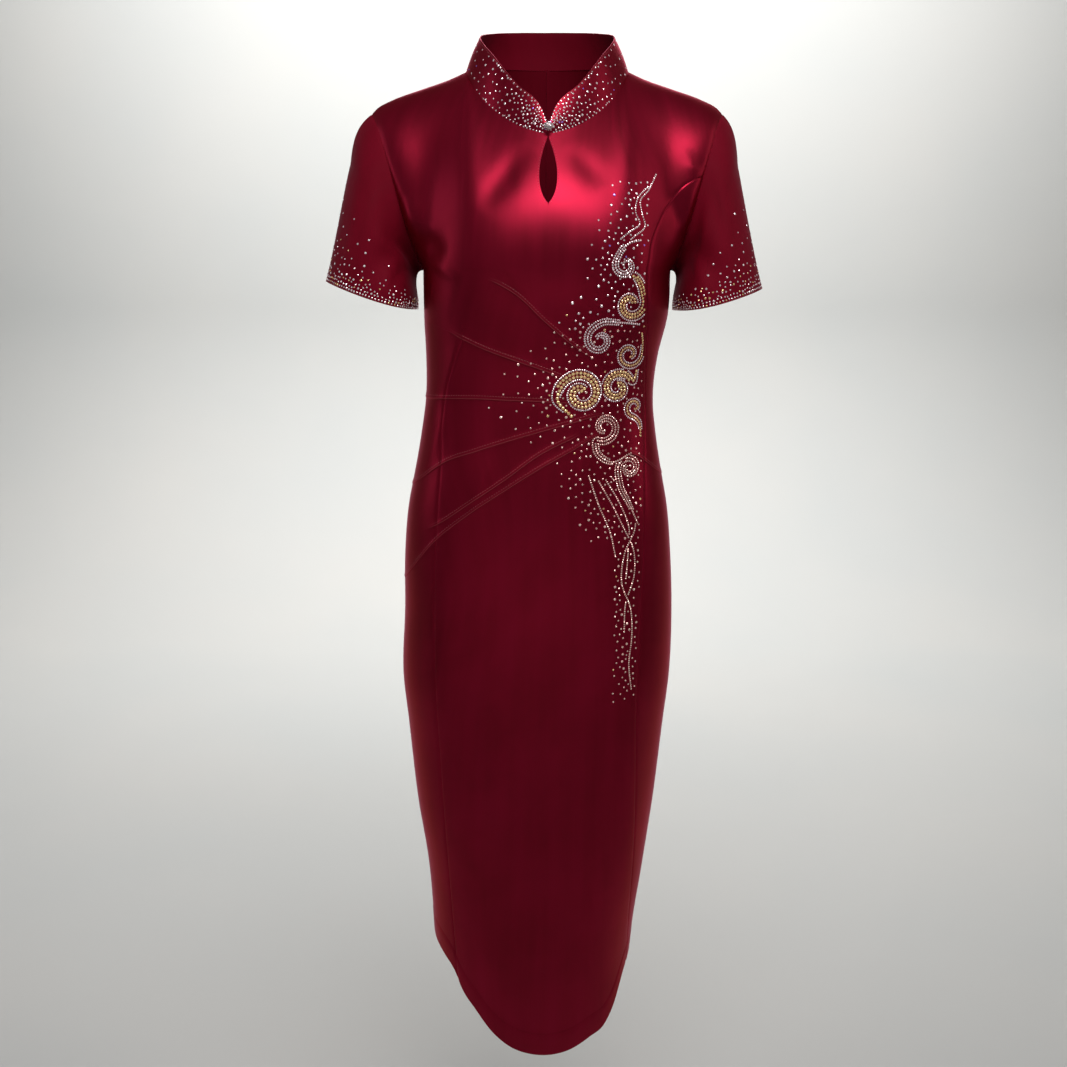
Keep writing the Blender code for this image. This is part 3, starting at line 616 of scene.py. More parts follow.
@dataclass(frozen=True)
class Cloth:
    """The cloth, by its finish on the right side and on the reverse."""

    right: Material
    reverse: Material

    def shell(self, name: str, sheet: Sheet, wall: float) -> Piece:
        """Make a thin shell from a sheet, with its reverse side in its own finish.

        Args:
            name: Name of the piece.
            sheet: The sheet.
            wall: Thickness of the shell.

        Returns:
            The piece.
        """
        thing = make_piece(name, sheet.mesh(name), self.right, self.reverse)
        thing.data.shade_smooth()
        shell = thing.modifiers.new("wall", "SOLIDIFY")
        shell.thickness = wall
        shell.offset = 0.0
        shell.use_even_offset = True
        shell.use_rim = True
        shell.material_offset = 1
        bpy.ops.object.modifier_apply(modifier=shell.name)
        thing.data.set_sharp_from_angle(angle=radians(50))
        return thing


@dataclass(frozen=True)
class Panels:
    """Sizes that the front and the back panels share."""

    form: BodyForm = BodyForm()
    rise_rows: int = 45
    seam_columns: tuple[float, ...] = (0.0045, 0.011)
    seam_roll: float = 0.0005
    seam_roll_width: float = 0.0013
    neck_setback: float = 0.00005
    shoulder_setback: float = 0.00005
    underarm_setback: float = 0.0003
    cloth_setback: float = 0.00002
    width_of_share: float = 0.22
    wear: float = 0.4
    wear_width: float = 0.02
    # Rows above the hem: height above it, lift, and painted shade that darkens a line along the hem turn.
    hem_rows: Table = ((0.031, 0.0, 0.0), (0.0292, 0.0, 0.35), (0.028, 0.00025, 0.0), (0.019, 0.00025, 0.0),
                       (0.009, 0.0002, 0.0), (0.0, 0.0, 0.0))

    def columns(self, start: float, end: float, count: int, seams: tuple[bool, bool], power: float = 1.0) -> Array:
        """Shares from one line of the cloth to another, with two more columns beside a seam.

        Args:
            start: First share.
            end: Last share.
            count: Number of even steps between them.
            seams: Whether a seam lies at the start and at the end.
            power: Above 1 for closer columns near the start.

        Returns:
            The shares.
        """
        shares = start + (end - start) * (np.arange(count + 1) / count) ** power
        way = 1 if end > start else -1
        room = min(1.0, abs(end - start) / count / (2 * self.seam_columns[-1]) * 1.6)
        beside = [start + way * step * room for step in self.seam_columns if seams[0]]
        beside += [end - way * step * room for step in self.seam_columns if seams[1]]
        return np.sort(np.concatenate([shares, beside]))[::way]

    def roll(self, shares: Array, seams: list[float]) -> Array:
        """Depth by which the cloth rolls in towards its seams.

        Args:
            shares: Shares of the row.
            seams: Shares of its seams.

        Returns:
            Heights, below 0.
        """
        lift = np.zeros_like(shares)
        for seam in seams:
            away = np.abs(shares - seam) * self.width_of_share
            lift -= self.seam_roll * np.exp(-(away / self.seam_roll_width) ** 2)
        return lift

    def borders(self, shares: Array, on_yoke: bool, height: float) -> Array:
        """Set-backs of a row's points.

        Args:
            shares: Shares of the row.
            on_yoke: Whether the row is above the underarm.
            height: Rise of a yoke row.

        Returns:
            The set-backs.
        """
        reach = np.full(shares.shape, self.cloth_setback)
        if on_yoke and height == 1:
            reach = np.where(np.abs(shares) <= self.form.neck_point, self.neck_setback, self.shoulder_setback)
        elif on_yoke:
            reach = np.where(np.abs(shares) > 0.999, self.armhole_setback(height), reach)
        return reach

    def armhole_setback(self, rise: float) -> float:
        """Set-back at the armhole, wider towards the underarm, where the sleeve turns back."""
        return self.shoulder_setback + (self.underarm_setback - self.shoulder_setback) * (1 - rise) ** 3

    def side_wear(self, shares: Array) -> Array:
        """Wear of the cloth beside the side seams."""
        return self.wear * np.exp(-((1 - np.abs(shares)) / self.wear_width) ** 2)

    def above_hem(self, above: float) -> Height:
        """A row that keeps one height above the hem."""
        return lambda across: self.form.hem_line(across) + above


@dataclass(frozen=True)
class Row:
    """One row of the front: a rise on the yoke or a height function below it, and its tuck's marks: painted highlight
    of the fold edge, stitch line and painted shade.
    """

    rise: float | None
    height: Height | None = None
    tuck: int | None = None
    marks: Triple = (0.0, 0.0, 0.0)
    lift: float = 0.0


@dataclass(frozen=True)
class FrontPanels(Panels):
    """Front panel and both side fronts, on the same rows."""

    keyhole: Table = (
        (-0.145, 0.0), (-0.14, 0.004), (-0.13, 0.0078), (-0.118, 0.0088), (-0.105, 0.0078),
        (-0.09, 0.0046), (-0.076, 0.0006), (-0.072, 0.0006))
    princess_rise: Table = (
        (0.0, 0.512), (0.111, 0.549), (0.222, 0.637), (0.333, 0.733), (0.444, 0.84), (0.556, 1.0))
    princess: Table = (
        (-1.15, 0.1), (-1.0, 0.1025), (-0.867, 0.1045), (-0.689, 0.103), (-0.549, 0.107),
        (-0.437, 0.109), (-0.34, 0.109), (-0.283, 0.1074), (-0.208, 0.1045))
    side_panel: Table = (
        (-1.15, -0.102), (-1.086, -0.106), (-0.9, -0.118), (-0.636, -0.1265), (-0.515, -0.1238),
        (-0.42, -0.118), (-0.34, -0.109), (-0.282, -0.09))
    princess_top: float = 0.555
    panel_share_at_neck: float = -0.5
    panel_tuck: int = 1
    rows_between: tuple[int, ...] = (6, 3, 6, 8, 4, 4, 5)
    # Rows beside each tuck: place beside the fold edge, painted highlight on the fold edge, stitch line, painted shade
    # below the step.
    tuck_rows: Table = (
        (1.0, 0, 0, 0), (.7, 0, 0, 0), (.46, 0, 0, 0), (.34, 0, .1, 0), (.29, 0, .6, 0), (.24, 0, .1, 0),
        (.13, 0, 0, 0), (.04, .25, 0, 0), (0, 1, 0, 0), (-.2, .1, 0, .3), (-.6, 0, 0, .5), (-1, 0, 0, .1))
    skirt_rows: int = 62
    wing_columns: int = 14
    centre_columns: int = 24
    right_columns: int = 34
    side_columns: int = 16
    blend_share: float = 0.3
    beside_share: float = 0.02
    beside_power: float = 1.16

    def rows(self) -> list[Row]:
        """Rows of the front from the shoulder down.

        Returns:
            The rows.
        """
        form = self.form
        rows = [Row(1 - i / self.rise_rows) for i in range(self.rise_rows)]
        low_edge: Height = lambda across: form.underarm + 0 * across
        rows.append(Row(None, low_edge))
        for index, between in enumerate(self.rows_between):
            top = self.tuck_height(index, 1.0)
            rows += [Row(None, self.between(low_edge, top, (i + 1) / (between + 1))) for i in range(between)]
            for fraction, *marks in self.tuck_rows:
                rows.append(Row(None, self.tuck_height(index, fraction), index, tuple(marks)))
            low_edge = self.tuck_height(index, -1.0)
        fold = self.above_hem(self.hem_rows[0][0])
        rows += [Row(None, self.between(low_edge, fold, (i + 1) / self.skirt_rows)) for i in range(self.skirt_rows)]
        # The hem rows carry painted shade, a darker line along the hem turn.
        return rows + [Row(None, self.above_hem(above), None, (0.0, 0.0, shade), lift)
                       for above, lift, shade in self.hem_rows[1:]]

    def tuck_height(self, index: int, fraction: float) -> Height:
        """A row beside a tuck, by a share of its width above (1) or of its step below (-1).

        Args:
            index: The tuck.
            fraction: Place beside its fold edge.

        Returns:
            A function from places across to heights.
        """
        form = self.form

        def height(across: Array) -> Array:
            """Height of the row at places across."""
            here = form.tuck_line(index, across)
            near = index - 1 if fraction > 0 else index + 1
            if near < 0:
                room = form.underarm - here
            elif near == len(form.tucks):
                room = here - form.hem_line(across)
            else:
                room = np.abs(form.tuck_line(near, across) - here)
            most = np.minimum(form.tuck_width, 0.6 * room) if fraction > 0 else np.minimum(form.tuck_step, 0.2 * room)
            return here + most * fraction
        return height

    @staticmethod
    def between(upper: Height, lower: Height, share: float) -> Height:
        """A row part of the way from an upper row to a lower one."""
        return lambda across: upper(across) * (1 - share) + lower(across) * share

    def limits(self, row: Row) -> Pair:
        """Shares of the side-panel line and the princess line.

        Args:
            row: The row of the front.

        Returns:
            Both shares.
        """
        if row.rise is not None:
            panel = self.seam_share(self.side_panel, self.side_panel[-1][0])
            panel = panel * (1 - row.rise) + self.panel_share_at_neck * row.rise
            princess = float(read(self.princess_rise, row.rise)[..., 0]) if row.rise < self.princess_top else 1.0
            return panel, princess
        panel, princess = -0.5, 0.6
        for _ in range(12):
            panel = self.seam_share(self.side_panel, float(row.height(self.form.across_of(np.array(panel)))))
            princess = self.seam_share(self.princess, float(row.height(self.form.across_of(np.array(princess)))))
        return panel, princess

    def seam_share(self, table: Table, z: float) -> float:
        """Share across the front of a seam that is given by x at heights."""
        return float(self.form.share_of_x(read(table, z)[..., 0], np.array(z)))

    def row_points(self, row: Row, shares: Array, seams: list[float]) -> Array:
        """Points of a row of the front.

        Args:
            row: The row.
            shares: Its shares.
            seams: Shares of its seams.

        Returns:
            The points.
        """
        lift = self.roll(shares, seams) + row.lift
        if row.rise is not None:
            return self.form.dressed(shares, np.full(shares.shape, row.rise), Side.FRONT, True, lift)
        return self.form.dressed(shares, row.height(self.form.across_of(shares)), Side.FRONT, False, lift)

    def row_marks(self, row: Row, shares: Array) -> Array:
        """Marks of a row's points: painted highlight of a fold edge, stitch line, painted shade and wear.

        Args:
            row: The row.
            shares: Its shares.

        Returns:
            Four marks a point.
        """
        marks = np.zeros((len(shares), 4))
        if row.tuck is not None:
            present = self.form.tuck_present(row.tuck, self.form.across_of(shares))
            marks[:, :3] = present[:, None] * np.array(row.marks)
        else:
            marks[:, :3] = row.marks
        marks[:, 3] = self.side_wear(shares)
        return marks

    def keyhole_shares(self, row: Row, shares: Array) -> tuple[Array, float]:
        """Shares beside the keyhole, pressed together to leave it open.

        Args:
            row: The row.
            shares: Shares from the centre to one side, all of one sign.

        Returns:
            The new shares, and the half width of the keyhole in this row.
        """
        if row.rise is None:
            return shares, 0.0
        centre = self.form.yoke(np.array(0.0), np.array(row.rise), Side.FRONT)
        half = float(read(self.keyhole, centre[2])[0]) if centre[2] > self.keyhole[0][0] else 0.0
        if half <= 0:
            return shares, 0.0
        aside = float(self.form.yoke(np.array(self.beside_share), np.array(row.rise), Side.FRONT)[0])
        start = self.beside_share * (half / aside) ** (1 if half < aside else self.beside_power)
        size = np.abs(shares)
        moved = start + size * (1 - start / self.blend_share)
        return np.where(size < self.blend_share, np.sign(shares + 1e-12) * moved, shares), half

    def build(self, cloth: Cloth) -> list[Piece]:
        """Build the front panel and the two side fronts.

        Args:
            cloth: The cloth.

        Returns:
            The front panel, the left side front and the right one.
        """
        front, left, side = Sheet(), Sheet(), Sheet()
        rows = self.rows()
        corner = next(i for i, row in enumerate(rows) if row.tuck == self.panel_tuck and row.marks[0] == 1)
        first_left = next(i for i, row in enumerate(rows) if row.rise is not None and row.rise < self.princess_top) - 1
        counts: tuple[int, ...] = ()
        for index, row in enumerate(rows):
            panel, princess = self.limits(row)
            wing = self.columns(-1, panel, self.wing_columns, (True, True))[:-1]
            centre = self.columns(0.0, panel, self.centre_columns, (False, True), 1.15)[::-1][:-1]
            right_half = self.columns(0.0, princess, self.right_columns, (False, True), 1.15)
            seams = [-1.0] + ([panel] if index >= corner else []) + ([princess] if index >= first_left else [1.0])
            flank = self.columns(princess, 1.0, self.side_columns, (True, True))
            opened_right, half = self.keyhole_shares(row, right_half)
            opened_centre, _ = self.keyhole_shares(row, np.append(centre, -1e-9))
            shares = np.concatenate([wing, opened_centre, opened_right])
            points = self.row_points(row, shares, seams)
            middle = len(wing) + len(centre)
            length = front.measure(points[middle + 2])
            names = ([f"w{i}" for i in range(len(wing))] + [f"c{i}" for i in range(len(centre))]
                     + ["left_edge" if half else "r0"] + ["right_edge" if half else "r0"]
                     + [f"r{i}" for i in range(1, len(right_half))])
            counts = (len(wing), len(centre), len(right_half))
            on_yoke = row.rise is not None
            reach = self.borders(shares, on_yoke, row.rise or 0.0)
            marks = self.row_marks(row, shares)
            front.add_row(index, names, points, length, marks, reach, middle)
            pick = np.concatenate([wing, [panel]])
            side.add_row(index, names[:len(wing) + 1], self.row_points(row, pick, [-1.0, panel]), length,
                         self.row_marks(row, pick), self.borders(pick, on_yoke, row.rise or 0.0))
            left.add_row(index, list(range(len(flank))), self.row_points(row, flank, [princess, 1.0]), length,
                         self.row_marks(row, flank), self.borders(flank, on_yoke, row.rise or 0.0))
        self.join_front(front, len(rows), corner, counts)
        wing_names = [f"w{i}" for i in range(counts[0])] + ["c0"]
        for row in range(corner, len(rows) - 1):
            for a, b in zip(wing_names, wing_names[1:]):
                side.add_cell((row, a), (row + 1, a), (row + 1, b), (row, b))
        flank_count = len(flank)
        for row in range(first_left, len(rows) - 1):
            for i in range(flank_count - 1):
                upper = (row, i), (row, i + 1)
                if row == first_left:
                    upper = (row, 0), (row, 0)
                left.add_cell(upper[0], (row + 1, i), (row + 1, i + 1), upper[1])
        wall = self.form.wall
        return [cloth.shell("cloth_front_panel", front, wall), cloth.shell("cloth_side_front_left", left, wall),
                cloth.shell("cloth_side_front_right", side, wall)]

    def join_front(self, front: Sheet, rows: int, corner: int, counts: tuple[int, ...]) -> None:
        """Add the cells of the front panel on both sides of the keyhole.

        Args:
            front: The sheet of the front panel.
            rows: Number of rows.
            corner: Row below which the panel ends at the side-panel seam.
            counts: Columns in the wing, the centre and the right half.
        """
        wing, centre, right = counts
        left_names = [f"w{i}" for i in range(wing)] + [f"c{i}" for i in range(centre)] + ["left_edge"]
        right_names = ["right_edge"] + [f"r{i}" for i in range(1, right)]
        for row in range(rows - 1):
            for names in (left_names, right_names):
                for a, b in zip(names, names[1:]):
                    if a.startswith("w") and row >= corner:
                        continue
                    corners = [(row, a), (row + 1, a), (row + 1, b), (row, b)]
                    front.add_cell(*[key if key in front.points else (key[0], "r0") for key in corners])


@dataclass(frozen=True)
class BackPanels(Panels):
    """Both halves of the back, which meet at the centre-back seam."""

    tube_rows: int = 120
    rows_to_hem: int = 6
    half_columns: int = 46
    middle_wear: float = 0.3
    middle_width: float = 0.006

    def level(self, way: float) -> Height:
        """A row below the underarm, part of the way to the hem.

        Args:
            way: Share of the way, 0 to 1.

        Returns:
            A function from places across to heights.
        """
        form = self.form
        hem_ends = form.hem[0][1], form.hem[-1][1]
        ends = [form.underarm + (z - form.underarm) * way for z in hem_ends]

        def height(across: Array) -> Array:
            """Height of the row at places across."""
            turn = ease((across + 1) / 2)
            droop = form.hem_line(across) - (hem_ends[0] + (hem_ends[1] - hem_ends[0]) * turn)
            return ends[0] + (ends[1] - ends[0]) * turn + way ** 2 * droop
        return height

    def build(self, cloth: Cloth) -> list[Piece]:
        """Build the two halves of the back.

        Args:
            cloth: The cloth.

        Returns:
            The left half and the right half.
        """
        pieces = []
        for name, way in (("cloth_back_left", 1), ("cloth_back_right", -1)):
            sheet = Sheet()
            shares = way * self.columns(0.0, 1.0, self.half_columns, (True, True), 1.12)
            levels = [self.level(i / self.tube_rows) for i in range(self.tube_rows + 1 - self.rows_to_hem)]
            turned = len(levels) + self.rise_rows
            levels += [self.above_hem(above) for above, _, _ in self.hem_rows]
            for row in range(self.rise_rows + len(levels)):
                on_yoke = row < self.rise_rows
                rise = 1 - row / self.rise_rows if on_yoke else 0.0
                down = levels[max(row - self.rise_rows, 0)]
                up = np.full(shares.shape, rise) if on_yoke else down(self.form.across_of(shares))
                _, hem_lift, shade = self.hem_rows[row - turned] if row >= turned else (0.0, 0.0, 0.0)
                lift = self.roll(shares, [0.0, float(way)]) + hem_lift
                points = self.form.dressed(shares, up, Side.BACK, on_yoke, lift)
                length = sheet.measure(points[len(points) // 2])
                marks = np.zeros((len(shares), 4))
                # Painted shade along the hem turn; wear beside the side seams and the centre-back seam.
                marks[:, 2] = shade
                marks[:, 3] = self.side_wear(shares) + self.middle_wear * np.exp(-(shares / self.middle_width) ** 2)
                sheet.add_row(row, list(range(len(shares))), points, length, marks,
                              self.borders(shares, on_yoke, rise))
                sheet.join_row(row, len(shares) - 1, way < 0)
            pieces.append(cloth.shell(name, sheet, self.form.wall))
        return pieces


@dataclass(frozen=True)
class Sleeve(Panels):
    """A short set-in sleeve that starts on the armhole's own points and ends in an open hem."""

    name: str = "sleeve_left"
    side: int = 1
    inner: Pair = (0.1455, -0.2525)
    outer: Pair = (0.244, -0.228)
    swell: float = 0.85
    depth: float = 0.064
    hem_lean: Pair = (-0.013, -0.007)
    leave: Table = (
        (0.0, 0.046, 0.0, 0.008), (0.25, 0.06, 0.02, -0.03), (0.5, 0.07, 0.02, -0.07),
        (0.75, 0.07, 0.03, -0.11), (1.0, 0.075, 0.0, -0.11))
    arrive: Table = ((0.0, 0.004, 0.0, -0.06), (0.5, 0.02, 0.0, -0.15), (1.0, 0.062, 0.0, -0.19))
    cap_lift: float = 0.003
    cap_width: float = 0.3
    cap_reach: float = 0.35
    crease_from: float = 0.08
    seam_reach: float = 0.16
    fold_turn: Pair = (0.1, 0.62)
    fold_width: float = 0.1
    fold_height: float = -0.006
    rounds: int = 144
    rings: int = 56
    cut_width: float = 0.406
    cut_length: float = 0.195
    creases: tuple[Crease, ...] = ()

    def armhole(self, turn: Array) -> Array:
        """Points of the armhole.

        Args:
            turn: 0 at the underarm, 1 at the shoulder tip by the front, 2 at the underarm by the back.

        Returns:
            The points.
        """
        share = np.full(turn.shape, float(self.side))
        front = self.form.yoke(share, np.clip(turn, 0, 1), Side.FRONT)
        back = self.form.yoke(share, np.clip(2 - turn, 0, 1), Side.BACK)
        return np.where((turn <= 1)[..., None], front, back)

    def smooth(self, turn: Array, down: Array) -> Array:
        """Points of the sleeve's form without its creases.

        Args:
            turn: Places round the sleeve.
            down: Places down it, 0 at the armhole to 1 at the hem.

        Returns:
            The points.
        """
        turn = np.mod(turn, 2.0)
        fore = np.where(turn <= 1, turn, 2 - turn)
        face = np.where(turn <= 1, -1.0, 1.0)
        flip = np.stack([np.full(turn.shape, float(self.side)), -face, np.ones_like(turn)], axis=-1)
        leave = read(self.leave, fore) * flip * np.array((1, -1, 1))
        leave[..., 0] *= 1 + (self.swell - 1) * ease(fore)
        arrive = read(self.arrive, fore) * np.array((self.side, 1, 1))
        inner, outer = np.array(self.inner), np.array(self.outer)
        round_trip = np.sin(fore * pi)
        ring = inner + (outer - inner) * ((1 - np.cos(fore * pi)) / 2)[..., None]
        ring = ring + np.array(self.hem_lean) * round_trip[..., None] ** 2
        hem = np.stack([self.side * ring[..., 0], face * self.depth * round_trip, ring[..., 1]], axis=-1)
        points = hermite(self.armhole(turn), hem, leave, arrive, down[..., None])
        cap = self.cap_lift * np.exp(-((fore - 1) / self.cap_width) ** 2)
        cap = cap * np.sin(pi * np.clip(down / self.cap_reach, 0, 1))
        points[..., 2] += cap
        points[..., 0] += self.side * cap
        low, high = self.fold_turn
        crease = np.exp(-((fore - (low + (high - low) * down)) / self.fold_width) ** 2)
        points[..., 1] += np.where(turn <= 1, -1, 1) * self.fold_height * crease * np.sin(pi * down)
        return points

    def at(self, turn: Array, down: Array) -> tuple[Array, Array]:
        """Points in the middle of the cloth and outward normals.

        Args:
            turn: Places round the sleeve.
            down: Places down it.

        Returns:
            The points and the normals.
        """
        step = 0.004
        low, high = np.clip(down - step, 0, 1), np.clip(down + step, 0, 1)
        round_way = self.smooth(turn + step, down) - self.smooth(turn - step, down)
        down_way = self.smooth(turn, high) - self.smooth(turn, low)
        normal = unit(np.cross(round_way, down_way)) * -self.side
        relief = sum((crease.relief(np.mod(turn, 2.0), down) for crease in self.creases), np.zeros_like(turn))
        relief = relief * ease(down / self.crease_from)
        relief = relief - self.seam_roll * np.exp(-(down * self.seam_reach / self.seam_roll_width) ** 2)
        return self.smooth(turn, down) + normal * relief[..., None], normal

    def build(self, cloth: Cloth) -> Piece:
        """Build the sleeve.

        Args:
            cloth: The cloth.

        Returns:
            The sleeve.
        """
        sheet = Sheet()
        turns = np.arange(self.rounds + 1) / self.rounds * 2
        for ring in range(self.rings + 1):
            way = ring / self.rings
            down = np.full(turns.shape, float(ease(way)) * 0.35 + 0.65 * way)
            points, _ = self.at(turns, down)
            length = sheet.measure(points[self.rounds // 4])
            marks = np.zeros((len(turns), 4))
            marks[:, 3] = 0.5 * np.exp(-((1 - way) / 0.02) ** 2)
            fore = np.minimum(turns, 2 - turns)
            reach = np.array([self.armhole_setback(f) if ring == 0 else self.cloth_setback for f in fore])
            sheet.add_row(ring, list(range(len(turns))), points, length, marks, reach)
            sheet.join_row(ring, self.rounds, self.side < 0)
        self.close(sheet)
        return cloth.shell("cloth_" + self.name, sheet, self.form.wall)

    def close(self, sheet: Sheet) -> None:
        """Join the last column to the first one.

        Args:
            sheet: The sleeve's sheet.
        """
        last = self.rounds
        for cell in sheet.cells:
            for i, (ring, column) in enumerate(cell):
                if column == last:
                    cell[i] = (ring, 0)


@dataclass(frozen=True)
class Collar:
    """Stand collar: one stiffened band round the neckline, its ends a hair apart at the front centre."""

    form: BodyForm = BodyForm()
    top: Table = (
        (0.0, 0.0012, -0.0885, -0.064), (0.1, 0.0075, -0.084, -0.047), (0.34, 0.0316, -0.069, -0.0225),
        (0.64, 0.056, -0.044, 0.009), (1.0, 0.0725, 0.0, 0.037), (1.35, 0.059, 0.036, 0.049),
        (1.7, 0.031, 0.0585, 0.055), (2.0, 0.0, 0.065, 0.0565), (2.3, -0.031, 0.0585, 0.055))
    wall: float = 0.0011
    end_gap: float = 0.0006
    lift: float = -0.0015
    bow: float = 0.0012
    height: float = 0.04
    edge_setback: float = 0.00015
    edge_wear: float = 0.08
    half_columns: int = 80
    column_power: float = 1.25
    rises: int = 14

    def at(self, place: Array, rise: Array, way: Array | float = 1.0) -> tuple[Array, Array]:
        """Points in the middle of the band and outward normals.

        Args:
            place: Place round the neckline, 0 at the front centre and 2 at the back centre.
            rise: Place up the band, 0 to 1.
            way: 1 on the wearer's left, -1 on the right.

        Returns:
            The points and the normals.
        """
        points = self.left(place, rise)
        step = 0.01
        along = self.left(np.clip(place + step, 0, 2), rise) - self.left(np.clip(place - step, 0, 2), rise)
        up = self.left(place, np.clip(rise + step, 0, 1)) - self.left(place, np.clip(rise - step, 0, 1))
        normal = unit(np.cross(along, up))
        flip = np.stack([np.asarray(way, float) + 0 * place, 1 + 0 * place, 1 + 0 * place], axis=-1)
        return points * flip, normal * flip

    def left(self, place: Array, rise: Array) -> Array:
        """Points of the band's left half.

        Args:
            place: Place round the neckline.
            rise: Place up the band.

        Returns:
            The points.
        """
        low = read(self.form.neckline, place)
        low[..., 0] = np.where(place >= 2, 0.0, np.maximum(low[..., 0], self.end_gap))
        high = read(self.top, place)
        low = low + unit(high - low) * self.lift
        points = low + (high - low) * rise[..., None]
        out = unit(points * np.array((1, 1, 0)))
        return points + out * (self.bow * np.sin(pi * rise))[..., None]

    def build(self, cloth: Cloth) -> Piece:
        """Build the collar.

        Args:
            cloth: The cloth.

        Returns:
            The collar.
        """
        sheet = Sheet()
        half = 2 * (np.arange(self.half_columns + 1) / self.half_columns) ** self.column_power
        places = np.concatenate([half, half[-2::-1]])
        ways = np.concatenate([np.ones(len(half)), -np.ones(len(half) - 1)])
        for row in range(self.rises + 1):
            rise = row / self.rises
            points, _ = self.at(places, np.full(places.shape, rise), ways)
            marks = np.zeros((len(places), 4))
            marks[:, 3] = np.exp(-((1 - rise) / self.edge_wear) ** 2)
            reach = np.full(len(places), 0.0 if row == 0 else self.edge_setback)
            sheet.add_row(row, list(range(len(places))), points, rise * self.height, marks, reach)
            sheet.join_row(row, len(places) - 1)
        return cloth.shell("cloth_collar", sheet, self.wall)


@dataclass
class StoneSetting:
    """Rhinestones glued to the cloth, kept apart from each other and joined into one mesh."""

    name: str
    sink: float = 0.0002
    crown: float = 0.46
    spacing: float = 1.06
    seed: int = 7
    centres: list = field(default_factory=list)
    normals: list = field(default_factory=list)
    radii: list = field(default_factory=list)
    kinds: list = field(default_factory=list)

    def place(self, points: Array, normals: Array, radii: Array, kinds: list[Stone]) -> int:
        """Add those stones that keep clear of the stones before them.

        Args:
            points: Centres on the outside of the cloth.
            normals: Outward normals.
            radii: Radii of the stones.
            kinds: Their kinds.

        Returns:
            The number of stones added.
        """
        before = len(self.centres)
        for point, normal, radius, kind in zip(points, normals, radii, kinds):
            if self.centres:
                away = np.linalg.norm(np.array(self.centres) - point, axis=1)
                if (away < self.spacing * (np.array(self.radii) + radius)).any():
                    continue
            self.centres.append(point)
            self.normals.append(normal)
            self.radii.append(radius)
            self.kinds.append(kind)
        return len(self.centres) - before

    @staticmethod
    def cut(sides: int) -> tuple[Array, list[tuple[int, ...]]]:
        """Points and faces of one faceted stone of radius 1.

        Args:
            sides: Number of sides of its girdle.

        Returns:
            The points and the faces.
        """
        turns = np.arange(sides) * tau / sides
        rings = [(0.92, 0.0, 0.0), (1.0, 0.16, 0.0), (0.8, 0.42, 0.5), (0.44, 0.62, 0.0)]
        points = [(size * cos(turn + shift * tau / sides), size * sin(turn + shift * tau / sides), height)
                  for size, height, shift in rings for turn in turns]
        faces: list[tuple[int, ...]] = [tuple(range(sides))[::-1], tuple(range(3 * sides, 4 * sides))]
        for i in range(sides):
            j = (i + 1) % sides
            faces.append((i, j, sides + j, sides + i))
            faces.append((sides + i, sides + j, 2 * sides + i))
            faces.append((sides + j, 2 * sides + j, 2 * sides + i))
            faces.append((2 * sides + i, 2 * sides + j, 3 * sides + j))
            faces.append((2 * sides + i, 3 * sides + j, 3 * sides + i))
        return np.array(points), faces

    def build(self, material: Material) -> Piece:
        """Build all the stones as one mesh, with each facet's own tint: the stone's colour, made lighter or darker per
        stone as painted glints and per facet at random.

        Args:
            material: Material of the stones.

        Returns:
            The piece.
        """
        random = np.random.default_rng(self.seed)
        verts: list[Array] = []
        faces: list[tuple[int, ...]] = []
        tints_and_glints: list[Array] = []
        start = 0
        for centre, normal, radius, kind in zip(self.centres, self.normals, self.radii, self.kinds):
            points, cut_faces = self.cut(8 if radius > 0.0016 else 6)
            aside = unit(np.cross(normal, (0.3, 0.2, 1.0)))
            other = np.cross(normal, aside)
            turn = random.uniform(0, tau)
            first = aside * cos(turn) + other * sin(turn)
            second = np.cross(normal, first)
            height = self.crown * 2
            local = (points[:, :1] * first + points[:, 1:2] * second
                     + (points[:, 2:] * height) * normal) * radius
            verts.append(centre - normal * self.sink + local)
            # Each stone is made lighter or darker at random as painted glints; each facet varies again at random.
            painted_glint = random.uniform(0.75, 1.25)
            for face in cut_faces:
                faces.append(tuple(start + i for i in face))
                tints_and_glints.append(np.clip(np.array(kind.value) * painted_glint * random.uniform(0.7, 1.3), 0, 1))
            start += len(points)
        mesh = bpy.data.meshes.new(self.name)
        mesh.from_pydata(np.concatenate(verts).tolist(), [], faces)
        tint = mesh.color_attributes.new("stone_tint_and_glints", "FLOAT_COLOR", "CORNER")
        colours = np.concatenate([np.tile(np.append(c, 1.0), (len(f), 1)) for c, f in zip(tints_and_glints, faces)])
        tint.data.foreach_set("color", colours.ravel())
        return make_piece(self.name, mesh, material)


def lengths_along(points: Array) -> Array:
    """Distance along a line of points from its start."""
    return np.concatenate([[0.0], np.cumsum(np.linalg.norm(np.diff(points, axis=0), axis=-1))])


def keep_apart(points: Array, gaps: Array, allowed: Array | bool = True) -> list[int]:
    """Choose points, in their order, that keep their own gap to those chosen before.

    Args:
        points: The points.
        gaps: Gap of each point.
        allowed: Whether each point may be chosen.

    Returns:
        Indices of the chosen points.
    """
    chosen: list[int] = []
    for i in np.flatnonzero(np.broadcast_to(allowed, len(points))):
        if not chosen or np.linalg.norm(points[chosen] - points[i], axis=1).min() > gaps[i]:
            chosen.append(int(i))
    return chosen


